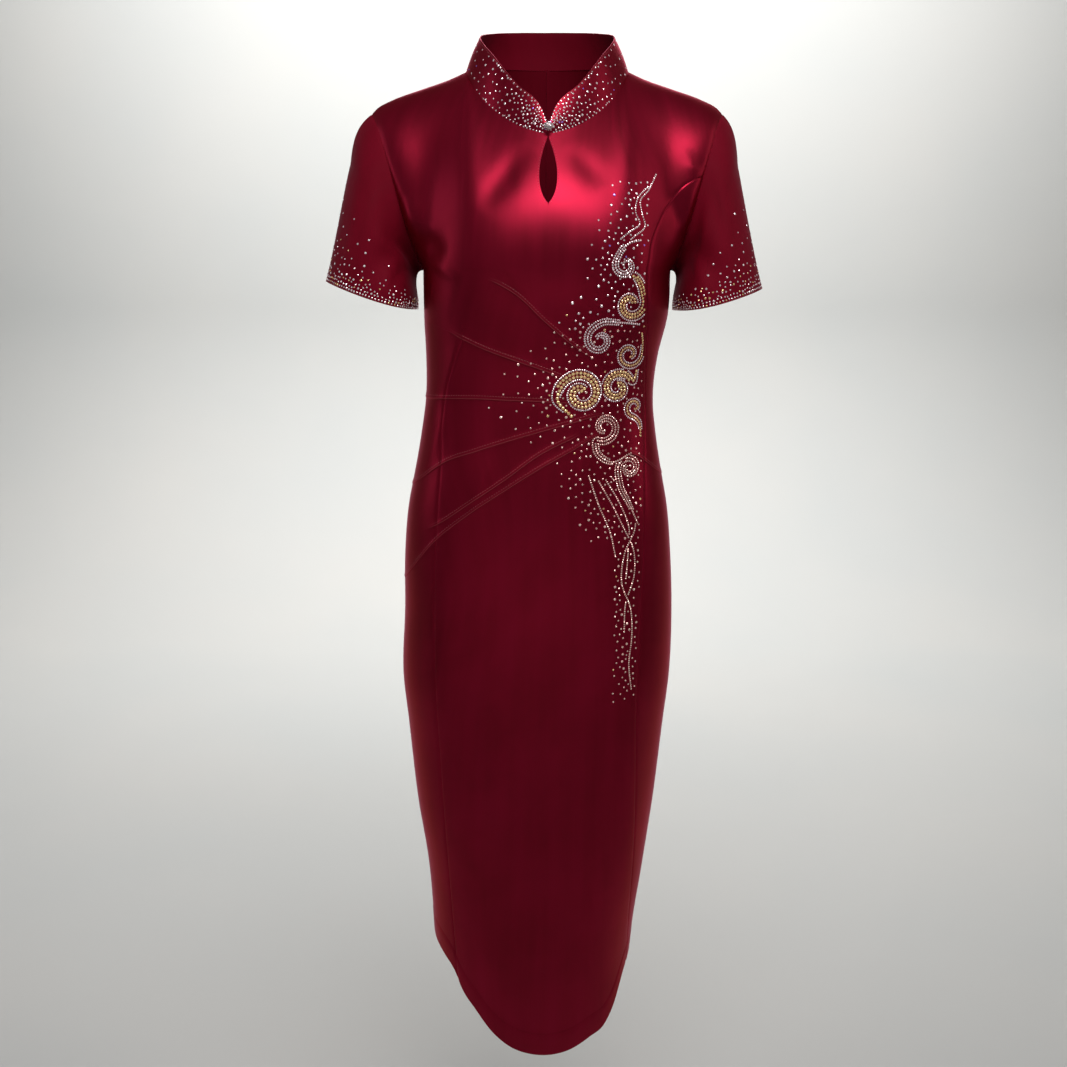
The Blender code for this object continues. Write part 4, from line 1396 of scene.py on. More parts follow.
@dataclass(frozen=True)
class Scroll:
    """A curled ribbon of stones: a spiral that opens into a tail, in x and z of the front."""

    centre: Pair
    radius: float
    turns: float
    start: float
    way: int
    tail: tuple[Pair, ...]
    width: float
    kind: Stone
    size: float
    rows: int = 1

    def line(self, steps: int = 400) -> Array:
        """Middle line of the ribbon, from the eye of the spiral to the end of the tail.

        Args:
            steps: Number of points.

        Returns:
            Points in x and z.
        """
        t = np.linspace(0.0, 1.0, 60)
        angle = radians(self.start) + self.way * tau * self.turns * (t - 1)
        size = self.radius * (0.22 + 0.78 * t)
        curl = np.stack([self.centre[0] + size * np.cos(angle), self.centre[1] + size * np.sin(angle)], axis=-1)
        stops = np.concatenate([curl, np.array(self.tail).reshape(-1, 2)])
        key = lengths_along(stops)
        kept = np.concatenate([[True], np.diff(key) > 1e-6])
        table = tuple((k, *stop) for k, stop in zip(key[kept], stops[kept]))
        return read(table, np.linspace(0.0, key[-1], steps))


@dataclass(frozen=True)
class CloudOrnament:
    """Cloud scrolls of rhinestones down the front's left side, with loose stones fanning from them."""

    form: BodyForm = BodyForm()
    seam: Table = FrontPanels.princess
    seam_room: float = 0.003
    small: float = 0.00105
    medium: float = 0.0015
    waist: Pair = (0.06, -0.345)
    fan: int = 900
    scrolls: tuple[Scroll, ...] = (
        Scroll((0.08, -0.206), 0.0105, 0.9, 200, -1, ((0.074, -0.193), (0.085, -0.183), (0.097, -0.18)),
               0.0038, Stone.CLEAR, 0.0013),
        Scroll((0.087, -0.245), 0.0165, 1.0, 30, 1, ((0.098, -0.226), (0.09, -0.216), (0.074, -0.218)),
               0.0078, Stone.GOLD, 0.00155, 2),
        Scroll((0.055, -0.282), 0.014, 1.0, 150, -1, ((0.056, -0.264), (0.076, -0.264), (0.098, -0.266)),
               0.0044, Stone.CLEAR, 0.00125),
        Scroll((0.088, -0.298), 0.014, 1.1, 330, 1, ((0.103, -0.288), (0.101, -0.274)),
               0.004, Stone.GOLD, 0.0013),
        Scroll((0.036, -0.339), 0.0205, 1.1, 100, 1, ((0.014, -0.33), (0.009, -0.344), (0.026, -0.364)),
               0.0086, Stone.GOLD, 0.00185, 2),
        Scroll((0.076, -0.334), 0.0165, 1.05, 60, -1, ((0.094, -0.328), (0.098, -0.314)),
               0.008, Stone.GOLD, 0.00165, 2),
        Scroll((0.096, -0.356), 0.0105, 0.95, 260, 1, ((0.101, -0.372), (0.104, -0.39)),
               0.004, Stone.GOLD, 0.0014),
        Scroll((0.062, -0.376), 0.016, 1.1, 240, -1, ((0.053, -0.4), (0.07, -0.414), (0.092, -0.406)),
               0.0048, Stone.ROSE, 0.0012),
        Scroll((0.09, -0.422), 0.012, 1.05, 140, 1, ((0.08, -0.439), (0.09, -0.46), (0.101, -0.484)),
               0.0042, Stone.ROSE, 0.0011))
    wisps: tuple[tuple[Pair, ...], ...] = (
        ((0.114, -0.112), (0.105, -0.129), (0.096, -0.14), (0.098, -0.154), (0.101, -0.166),
         (0.09, -0.176), (0.079, -0.185)),
        ((0.106, -0.124), (0.093, -0.138), (0.0905, -0.152), (0.095, -0.164), (0.085, -0.1715),
         (0.074, -0.18)),
        ((0.07, -0.43), (0.09, -0.456), (0.098, -0.486), (0.086, -0.516), (0.083, -0.548),
         (0.094, -0.58), (0.096, -0.615), (0.093, -0.645), (0.0962, -0.677)),
        ((0.056, -0.434), (0.072, -0.462), (0.084, -0.486), (0.096, -0.512), (0.0975, -0.542),
         (0.088, -0.574), (0.087, -0.604)),
        ((0.064, -0.433), (0.08, -0.46), (0.0905, -0.487), (0.09, -0.516), (0.088, -0.545)),
        ((0.045, -0.428), (0.057, -0.462), (0.069, -0.49), (0.076, -0.52)))

    def clip(self, x: Array, z: Array) -> Array:
        """Whether places lie on the panel's side of the princess seam."""
        return x < read(self.seam, np.clip(z, -1.1, -0.208))[..., 0] - self.seam_room + np.maximum(z + 0.208, 0) * .24

    def row(self, stones: StoneSetting, line: Array, spacing: float, radius: float, kind: Stone) -> None:
        """Set one row of stones along a line of the front.

        Args:
            stones: Where the stones are kept.
            line: Points in x and z.
            spacing: Distance between the stones, as a share of their width.
            radius: Their radius.
            kind: Their kind.
        """
        points, _ = self.form.front_at(line[:, 0], line[:, 1])
        along = lengths_along(points)
        stops = np.arange(0.0, along[-1], spacing * 2 * radius)
        x, z = np.interp(stops, along, line[:, 0]), np.interp(stops, along, line[:, 1])
        kept = self.clip(x, z)
        points, normals = self.form.front_at(x[kept], z[kept])
        stones.place(points, normals, np.full(len(points), radius), [kind] * len(points))

    def ribbon(self, stones: StoneSetting, scroll: Scroll) -> None:
        """Set the rows of one scroll: two fine edges and a filling between them.

        Args:
            stones: Where the stones are kept.
            scroll: The scroll.
        """
        line = scroll.line()
        along = np.gradient(line, axis=0)
        across = unit(np.stack([-along[:, 1], along[:, 0]], axis=-1))
        t = np.linspace(0.0, 1.0, len(line))[:, None]
        taper = 1 - 0.85 * ease((t - 0.72) / 0.28)
        half = scroll.width / 2 * (0.55 + 0.45 * np.sin(pi * np.clip(t * 1.15, 0, 1))) * taper
        if scroll.rows == 1:
            self.row(stones, line, 1.14, scroll.size, scroll.kind)
        else:
            for way in (1, -1):
                self.row(stones, line + across * scroll.size * 1.08 * way * taper, 1.14, scroll.size, scroll.kind)
            half = np.maximum(half, scroll.size * 2.3 * taper)
        edge = Stone.CLEAR if scroll.kind is not Stone.ROSE else Stone.ROSE
        for way in (1, -1):
            self.row(stones, line + across * (half + self.small) * way, 1.18, self.small, edge)

    def build(self, material: Material) -> Piece:
        """Build the whole ornament.

        Args:
            material: Material of the stones.

        Returns:
            The piece.
        """
        stones = StoneSetting("stones_front")
        for scroll in self.scrolls:
            self.ribbon(stones, scroll)
        for index, wisp in enumerate(self.wisps):
            stops = np.array(wisp)
            key = lengths_along(stops)
            line = read(tuple((k, *stop) for k, stop in zip(key, stops)), np.linspace(0, key[-1], 300))
            self.row(stones, line, 1.2, self.small, Stone.ROSE if index > 1 else Stone.CLEAR)
        self.loose(stones)
        log.info("stones on the front: %d", len(stones.centres))
        return stones.build(material)

    def loose(self, stones: StoneSetting) -> None:
        """Set the loose stones: close beside the scrolls, and thinner the further out they fan.

        Args:
            stones: Where the stones are kept.
        """
        random = np.random.default_rng(21)
        ribbon = np.array(stones.centres)[:, [0, 2]]
        x = np.concatenate([random.uniform(-0.065, 0.105, self.fan * 7), random.uniform(0.075, 0.104, self.fan)])
        z = np.concatenate([random.uniform(-0.5, -0.12, self.fan * 7), random.uniform(-0.69, -0.48, self.fan)])
        kept = self.clip(x, z)
        x, z = x[kept], z[kept]
        points, normals = self.form.front_at(x, z)
        reach = np.array([np.hypot(*(ribbon - (a, b)).T).min() for a, b in zip(x, z)])
        left = np.array([(ribbon[np.abs(ribbon[:, 1] - b) < 0.02, 0].min(initial=0.2) - a) for a, b in zip(x, z)])
        gap = np.where(left > 0, 0.0016 + 0.11 * reach, 0.0026 + 0.1 * reach)
        furthest = 0.03 + 0.04 * np.exp(-((z - self.waist[1]) / 0.055) ** 2)
        chosen = keep_apart(points, 2.0 * gap, ((left > 0) | (reach >= 0.003)) & (reach <= furthest))
        radii = np.where(random.uniform(0, 1, len(chosen)) < 0.18, self.medium, self.small * 1.06)
        kinds = [Stone.CLEAR if z[i] > -0.27 else Stone.ROSE for i in chosen]
        for order in range(0, len(kinds), 23):
            kinds[order] = Stone.VIOLET_GLINT if z[chosen[order]] > -0.25 else Stone.GOLD
        stones.place(points[chosen], normals[chosen], radii, kinds)


@dataclass(frozen=True)
class EdgeStones:
    """Rhinestones of the collar's front corners and of the sleeve hems."""

    small: float = 0.00095
    medium: float = 0.0013
    collar_tries: int = 2600
    sleeve_tries: int = 1500
    hem_rows: Table = ((0.983, 0.0037, 1.0, 0.0012), (0.96, 0.0041, 0.94, 0.005), (0.934, 0.0046, 0.88, 0.008),
                       (0.904, 0.0054, 0.82, 0.01), (0.868, 0.0068, 0.75, 0.012))

    def collar(self, collar: Collar, material: Material) -> Piece:
        """Set the collar's stones, dense at its front corners and sparse towards its sides.

        Args:
            collar: The collar.
            material: Material of the stones.

        Returns:
            The piece.
        """
        stones = StoneSetting("stones_collar", seed=11)
        random = np.random.default_rng(5)
        for way in (1.0, -1.0):
            edge = np.linspace(0.02, 0.62, 600)
            for rise, spacing in ((0.06, 2.9), (0.94, 3.4)):
                points, normals = collar.at(edge, np.full(edge.shape, rise), way)
                stops = np.searchsorted(lengths_along(points), np.cumsum(
                    [0.001 * spacing * (1 + 0.07 * i) for i in range(22)]))
                stops = stops[stops < len(edge)]
                stones.place(points[stops] + normals[stops] * collar.wall / 2, normals[stops],
                             np.full(len(stops), self.small), [Stone.CLEAR] * len(stops))
            place = random.uniform(0.015, 1.08, self.collar_tries)
            rise = random.uniform(0.07, 0.93, self.collar_tries)
            points, normals = collar.at(place, rise, way)
            chosen = keep_apart(points, 0.0024 + 0.0095 * np.maximum(place - 0.1, 0))
            radii = np.where(random.uniform(0, 1, len(chosen)) < 0.25, self.medium, self.small)
            kinds = [Stone.VIOLET_GLINT if random.uniform() < 0.06 else Stone.CLEAR for _ in chosen]
            stones.place(points[chosen] + normals[chosen] * collar.wall / 2, normals[chosen], radii, kinds)
        log.info("stones on the collar: %d", len(stones.centres))
        return stones.build(material)

    def sleeve(self, sleeve: Sleeve, material: Material) -> Piece:
        """Set a sleeve's stones: one close row at the hem, then uneven rows, and fewer the further up.

        Args:
            sleeve: The sleeve.
            material: Material of the stones.

        Returns:
            The piece.
        """
        stones = StoneSetting("stones_" + sleeve.name, seed=13 + sleeve.side)
        random = np.random.default_rng(31 + sleeve.side)
        turns = np.linspace(0.0, 2.0, 1200)
        outward = sleeve.form.wall / 2
        for down, gap, kept, stray in self.hem_rows:
            along = lengths_along(sleeve.at(turns, np.full(turns.shape, down))[0])
            stops = np.arange(0.0, along[-1] - gap / 2, gap)
            stops = stops[random.uniform(0, 1, len(stops)) < kept]
            stops = stops + random.uniform(-1, 1, len(stops)) * stray * 0.12
            turn = np.interp(stops, along, turns)
            points, normals = sleeve.at(turn, down + random.uniform(-1, 1, len(turn)) * stray)
            radii = np.where(random.uniform(0, 1, len(turn)) < 0.22, self.medium, self.small)
            kinds = [Stone.GOLD if random.uniform() < 0.16 else Stone.CLEAR for _ in turn]
            stones.place(points + normals * outward, normals, radii, kinds)
        turn = random.uniform(0.0, 2.0, self.sleeve_tries)
        down = 1 - random.uniform(0.15, 0.62, self.sleeve_tries)
        points, normals = sleeve.at(turn, down)
        fore, reach = np.minimum(turn, 2 - turn), 1 - down
        gap = 0.004 + 0.052 * np.maximum(reach - 0.1, 0.0) ** 1.3 / (0.35 + 0.65 * fore)
        chosen = keep_apart(points, gap, reach <= 0.16 + 0.46 * fore)
        radii = np.where(random.uniform(0, 1, len(chosen)) < 0.3, self.medium, self.small)
        kinds = [Stone.GOLD if random.uniform() < 0.12 else Stone.CLEAR for _ in chosen]
        stones.place(points[chosen] + normals[chosen] * outward, normals[chosen], radii, kinds)
        log.info("stones on %s: %d", sleeve.name, len(stones.centres))
        return stones.build(material)


@dataclass(frozen=True)
class BallButton:
    """Ball button paved with rhinestones, where the collar's ends meet."""

    radius: float = 0.0043
    centre: Triple = (0.0, -0.0945, -0.0672)
    seat: float = -0.0902
    stone: float = 0.0008
    crest: float = 0.0017
    paving: int = 160
    paved_to: float = 0.45
    seat_rim: float = 0.0006
    seat_depth: float = 0.0005

    def build(self, metal: Material, crystal: Material) -> Piece:
        """Build the ball with its seat ring and its paving.

        Args:
            metal: Material of the ball.
            crystal: Material of the stones.

        Returns:
            The button.
        """
        select()
        bpy.ops.mesh.primitive_uv_sphere_add(segments=32, ring_count=20, radius=self.radius, location=self.centre)
        ball = bpy.context.active_object
        ball.name = "ball_button"
        bpy.ops.object.transform_apply(location=True, rotation=True, scale=True)
        bpy.ops.object.mode_set(mode="EDIT")
        bpy.ops.mesh.select_all(action="SELECT")
        bpy.ops.mesh.bisect(plane_co=(0, self.seat, 0), plane_no=(0, 1, 0), use_fill=True, clear_outer=True)
        bpy.ops.mesh.inset(thickness=self.seat_rim)
        bpy.ops.mesh.extrude_region_move(TRANSFORM_OT_translate={"value": (0, self.seat_depth, 0)})
        bpy.ops.mesh.select_all(action="SELECT")
        bpy.ops.mesh.normals_make_consistent(inside=False)
        bpy.ops.object.mode_set(mode="OBJECT")
        bpy.ops.object.shade_smooth_by_angle(angle=radians(40))
        ball.data.materials.clear()
        ball.data.materials.append(metal)
        stones = StoneSetting("button_paving", seed=3, sink=0.0001, spacing=0.98)
        height = 1 - 2 * (np.arange(self.paving) + 0.5) / self.paving
        turn = np.arange(self.paving) * pi * (3 - 5 ** 0.5)
        flat = np.sqrt(1 - height**2)
        out = np.stack([flat * np.cos(turn), -height, flat * np.sin(turn)], axis=-1)
        out = out[out[:, 1] < self.paved_to]
        stones.place(np.array([self.centre]) + (0, -self.radius, 0), np.array([[0.0, -1.0, 0.0]]),
                     np.array([self.crest]), [Stone.CLEAR])
        stones.place(np.array(self.centre) + out * self.radius, out, np.full(len(out), self.stone),
                     [Stone.CLEAR] * len(out))
        paving = stones.build(crystal)
        select(paving, ball)
        bpy.ops.object.join()
        return ball


@dataclass
class Stitching:
    """Rows of small stitches, joined into one mesh."""

    name: str
    length: float = 0.0022
    pitch: float = 0.0031
    thick: float = 0.0002
    verts: list = field(default_factory=list)
    faces: list = field(default_factory=list)

    def sew(self, points: Array, normals: Array) -> None:
        """Sew along a line on the outside of the cloth.

        Args:
            points: Points of the line.
            normals: Outward normals.
        """
        along = lengths_along(points)
        stops = np.arange(0.0, along[-1] - self.length, self.pitch)
        ends = [np.stack([np.interp(stops + shift, along, points[:, i]) for i in range(3)], axis=-1)
                for shift in (0.0, self.length)]
        out = unit(np.stack([np.interp(stops, along, normals[:, i]) for i in range(3)], axis=-1))
        for start, end, up in zip(ends[0], ends[1], out):
            way = unit(end - start)
            aside = np.cross(way, up)
            base = len(self.verts)
            for share, size, sink in ((0, 0.45, -1.4), (0.2, 1, 0), (0.8, 1, 0), (1, 0.45, -1.4)):
                middle = start + (end - start) * share + up * self.thick * (0.4 + sink)
                for a, b in ((1, 0), (0, 1), (-1, 0), (0, -1)):
                    self.verts.append(middle + (aside * a + up * b) * self.thick * size)
            for ring in range(3):
                for i in range(4):
                    j = (i + 1) % 4
                    low, high = base + ring * 4, base + ring * 4 + 4
                    self.faces.append((low + i, low + j, high + j, high + i))
            self.faces += [(base + 3, base + 2, base + 1, base), (base + 12, base + 13, base + 14, base + 15)]

    def build(self, material: Material) -> Piece:
        """Build the stitches.

        Args:
            material: Material of the thread.

        Returns:
            The piece.
        """
        mesh = bpy.data.meshes.new(self.name)
        mesh.from_pydata([tuple(v) for v in self.verts], [], self.faces)
        thing = make_piece(self.name, mesh, material)
        bpy.ops.object.mode_set(mode="EDIT")
        bpy.ops.mesh.select_all(action="SELECT")
        bpy.ops.mesh.normals_make_consistent(inside=False)
        bpy.ops.object.mode_set(mode="OBJECT")
        return thing


class Effect(Enum):
    """Shader groups that several finishes share."""

    CREPE = "satin_crepe"
    TONE = "cloth_tone"


def node_group(effect: Effect, inputs: dict[str, float], outputs: list[str]) -> NodeTree:
    """Make a shader group with named number inputs, a vector input and number outputs.

    Args:
        effect: Which group it is.
        inputs: Names and defaults of the number inputs.
        outputs: Names of the number outputs.

    Returns:
        The group, with its input and output nodes.
    """
    group = bpy.data.node_groups.new(effect.value, "ShaderNodeTree")
    group.interface.new_socket("Vector", in_out="INPUT", socket_type="NodeSocketVector")
    for name, value in inputs.items():
        socket = group.interface.new_socket(name, in_out="INPUT", socket_type="NodeSocketFloat")
        socket.default_value = value
    for name in outputs:
        group.interface.new_socket(name, in_out="OUTPUT", socket_type="NodeSocketFloat")
    group.nodes.new("NodeGroupInput").name = "in"
    group.nodes.new("NodeGroupOutput").name = "out"
    return group


@dataclass
class Wiring:
    """Helper that adds nodes to a tree and links them."""

    tree: NodeTree

    def add(self, kind: str, values: dict | None = None, **settings: object) -> bpy.types.Node:
        """Add a node.

        Args:
            kind: Type of the node.
            values: Values or source sockets of its inputs, by name or index.
            **settings: Its own settings.

        Returns:
            The node.
        """
        node = self.tree.nodes.new(kind)
        for name, value in settings.items():
            setattr(node, name, value)
        self.feed(node, values or {})
        return node

    def feed(self, node: bpy.types.Node, values: dict) -> None:
        """Link a node's inputs to sockets, or set them to values.

        Args:
            node: The node.
            values: Sockets and values, by name or index of the input.
        """
        for key, value in values.items():
            if isinstance(value, Socket):
                self.tree.links.new(value, node.inputs[key])
            else:
                node.inputs[key].default_value = value

    def math(self, operation: str, *values: object) -> Socket:
        """Add a Math node and give its result."""
        return self.add("ShaderNodeMath", dict(enumerate(values)), operation=operation).outputs[0]

    def mix(self, factor: object, first: object, second: object) -> Socket:
        """Mix two colours, each a socket or a value."""
        return self.add("ShaderNodeMix", {0: factor, 6: first, 7: second}, data_type="RGBA").outputs[2]


def new_material(name: str) -> tuple[Material, Wiring, bpy.types.Node]:
    """Make a material.

    Args:
        name: Its name.

    Returns:
        The material, its wiring and its shader.
    """
    material = bpy.data.materials.new(name)
    material.use_nodes = True
    nodes = material.node_tree.nodes
    return material, Wiring(material.node_tree), nodes["Principled BSDF"]


def crepe_group() -> NodeTree:
    """Fine crepe weave: crossing yarns that wander, with a grain of pebbles.

    Returns:
        The group.
    """
    group = node_group(Effect.CREPE, {"Yarns": 2100.0, "Grain": 900.0}, ["Height"])
    wire = Wiring(group)
    source = group.nodes["in"]
    wander = wire.add("ShaderNodeTexNoise", {"Vector": source.outputs["Vector"], "Scale": 180.0, "Detail": 2.0})
    warp = wire.add("ShaderNodeVectorMath", {0: wander.outputs["Color"], "Scale": 0.0016}, operation="SCALE")
    moved = wire.add("ShaderNodeVectorMath", {0: source.outputs["Vector"], 1: warp.outputs[0]}, operation="ADD")
    yarns = []
    for direction in ("X", "Y"):
        split = wire.add("ShaderNodeSeparateXYZ", {0: moved.outputs[0]})
        phase = wire.math("MULTIPLY", split.outputs[direction], source.outputs["Yarns"])
        yarns.append(wire.math("ABSOLUTE", wire.math("SINE", phase)))
    cross = wire.math("MAXIMUM", yarns[0], wire.math("MULTIPLY", yarns[1], 0.6))
    grain = wire.add("ShaderNodeTexNoise", {"Vector": source.outputs["Vector"], "Scale": source.outputs["Grain"],
                                           "Detail": 3.0, "Roughness": 0.6})
    height = wire.math("ADD", wire.math("MULTIPLY", cross, 0.5), wire.math("MULTIPLY", grain.outputs[0], 0.7))
    wire.feed(group.nodes["out"], {"Height": height})
    return group


def tone_group() -> NodeTree:
    """Broad variation of a cloth's tone, and long streaks that tint the colour as painted sheen and vary the
    roughness.

    Returns:
        The group.
    """
    group = node_group(Effect.TONE, {"Broad": 9.0, "Streaks": 60.0}, ["Tone", "Streak"])
    wire = Wiring(group)
    source = group.nodes["in"]
    broad = wire.add("ShaderNodeTexNoise", {"Vector": source.outputs["Vector"], "Scale": source.outputs["Broad"],
                                           "Detail": 3.0, "Roughness": 0.5})
    long_way = wire.add("ShaderNodeMapping", {"Vector": source.outputs["Vector"], "Scale": (1.0, 0.05, 1.0)})
    streak = wire.add("ShaderNodeTexNoise", {"Vector": long_way.outputs[0], "Scale": source.outputs["Streaks"],
                                            "Detail": 4.0, "Roughness": 0.6})
    wire.feed(group.nodes["out"], {"Tone": broad.outputs[0], "Streak": streak.outputs[0]})
    return group


@dataclass(frozen=True)
class SatinFinish:
    """Satin crepe in one dye, for the right side or the reverse of the cloth, with painted highlights, painted shade
    and painted sheen streaks in its colour.
    """

    name: str
    deep: Triple
    light: Triple
    # Colour of the painted highlight on fold edges, of the stitch line and of wear.
    edge: Triple
    roughness: Pair
    sheen: float
    sheen_tint: Triple
    specular: float
    metallic: float
    bump: float
    coat: float = 0.0

    def build(self, crepe: NodeTree, tone: NodeTree) -> Material:
        """Build the material.

        Args:
            crepe: The weave group.
            tone: The tone group.

        Returns:
            The material.
        """
        material, wire, shader = new_material(self.name)
        place = wire.add("ShaderNodeUVMap", uv_map="cloth").outputs[0]
        marks = wire.add("ShaderNodeVertexColor", layer_name="cloth_marks")
        split = wire.add("ShaderNodeSeparateColor", {0: marks.outputs["Color"]})
        weave = wire.add("ShaderNodeGroup", {"Vector": place}, node_tree=crepe)
        shade = wire.add("ShaderNodeGroup", {"Vector": place}, node_tree=tone)
        # Broad tone at random and long streaks; the streaks tint the colour as painted sheen.
        tone_and_sheen_streaks = wire.math("ADD", wire.math("MULTIPLY", shade.outputs["Tone"], 0.6),
                          wire.math("MULTIPLY", shade.outputs["Streak"], 0.4))
        span = wire.add("ShaderNodeMapRange", {"Value": tone_and_sheen_streaks, "From Min": 0.35, "From Max": 0.65})
        base_mix = wire.mix(span.outputs[0], (*self.deep, 1.0), (*self.light, 1.0))
        # Painted highlight on the tucks' fold edges and the stitch line, in the edge colour; then wear; then painted
        # shade below the tucks' steps and along the hem turn.
        fold_highlights_and_stitch_lines = wire.math("MAXIMUM", split.outputs[0], wire.math("MULTIPLY", split.outputs[1], 0.7))
        lit = wire.mix(wire.math("MULTIPLY", fold_highlights_and_stitch_lines, 0.85), base_mix, (*self.edge, 1.0))
        worn = wire.mix(wire.math("MULTIPLY", marks.outputs["Alpha"], 0.15), lit, (*self.edge, 1.0))
        shaded = wire.mix(wire.math("MULTIPLY", split.outputs[2], 0.45), worn,
                          (*(c * 0.35 for c in self.deep), 1.0))
        rough = wire.add("ShaderNodeMapRange", {"Value": shade.outputs["Streak"], "From Min": 0.3,
                                               "From Max": 0.7, "To Min": self.roughness[0],
                                               "To Max": self.roughness[1]})
        bump = wire.add("ShaderNodeBump", {"Height": weave.outputs["Height"], "Strength": self.bump,
                                          "Distance": 0.00012})
        tint = (*self.sheen_tint, 1.0)
        wire.feed(shader, {"Base Color": shaded, "Roughness": rough.outputs[0], "Normal": bump.outputs[0],
                           "Metallic": self.metallic, "Coat Weight": self.coat, "Coat Roughness": 0.4,
                           "Sheen Weight": self.sheen, "Sheen Roughness": 0.35, "Sheen Tint": tint,
                           "Specular IOR Level": self.specular, "Specular Tint": tint})
        return material


@dataclass(frozen=True)
class ThreadFinish:
    """Twisted sewing thread."""

    colour: Triple = (0.42, 0.03, 0.06)

    def build(self) -> Material:
        """Build the material.

        Returns:
            The material.
        """
        material, wire, shader = new_material("wine_thread")
        place = wire.add("ShaderNodeTexCoord").outputs["Object"]
        noise = wire.add("ShaderNodeTexNoise", {"Vector": place, "Scale": 700.0, "Detail": 2.0})
        dark = tuple(c * 0.6 for c in self.colour)
        base_mix = wire.mix(noise.outputs[0], (*dark, 1.0), (*self.colour, 1.0))
        twist = wire.add("ShaderNodeTexWave", {"Vector": place, "Scale": 1500.0}, bands_direction="DIAGONAL")
        bump = wire.add("ShaderNodeBump", {"Height": twist.outputs["Fac"], "Strength": 0.4, "Distance": 0.00005})
        wire.feed(shader, {"Base Color": base_mix, "Normal": bump.outputs[0], "Roughness": 0.45, "Sheen Weight": 0.3})
        return material


@dataclass(frozen=True)
class StoneFinish:
    """Foil-backed glass stones, each facet in its own tint, with a faint emission that is painted light."""

    painted_glint_emission: float = 0.1

    def build(self) -> Material:
        """Build the material.

        Returns:
            The material.
        """
        material, wire, shader = new_material("rhinestone_glass")
        tint = wire.add("ShaderNodeVertexColor", layer_name="stone_tint_and_glints")
        place = wire.add("ShaderNodeTexCoord").outputs["Object"]
        noise = wire.add("ShaderNodeTexNoise", {"Vector": place, "Scale": 420.0, "Detail": 1.0})
        shift = wire.mix(wire.math("MULTIPLY", noise.outputs[0], 0.15), tint.outputs["Color"],
                         (1.0, 0.88, 0.92, 1.0))
        rough = wire.add("ShaderNodeMapRange", {"Value": noise.outputs[0], "To Min": 0.05, "To Max": 0.16})
        # Emission is painted light: the stones shine faintly in their own tint.
        wire.feed(shader, {"Base Color": shift, "Roughness": rough.outputs[0], "Emission Color": shift,
                           "Emission Strength": self.painted_glint_emission, "Metallic": 0.6, "IOR": 1.65, "Coat Weight": 0.6,
                           "Coat Roughness": 0.03})
        return material


@dataclass(frozen=True)
class MetalFinish:
    """Silvered ball under the button's paving."""

    colour: Triple = (0.62, 0.6, 0.6)

    def build(self) -> Material:
        """Build the material.

        Returns:
            The material.
        """
        material, wire, shader = new_material("silvered_ball")
        place = wire.add("ShaderNodeTexCoord").outputs["Object"]
        noise = wire.add("ShaderNodeTexNoise", {"Vector": place, "Scale": 600.0, "Detail": 3.0})
        dull = tuple(c * 0.7 for c in self.colour)
        silver = wire.mix(noise.outputs[0], (*dull, 1.0), (*self.colour, 1.0))
        rough = wire.add("ShaderNodeMapRange", {"Value": noise.outputs[0], "To Min": 0.18, "To Max": 0.4})
        bump = wire.add("ShaderNodeBump", {"Height": noise.outputs[0], "Strength": 0.2, "Distance": 0.0001})
        wire.feed(shader, {"Base Color": silver, "Roughness": rough.outputs[0], "Normal": bump.outputs[0],
                           "Metallic": 1.0})
        return material


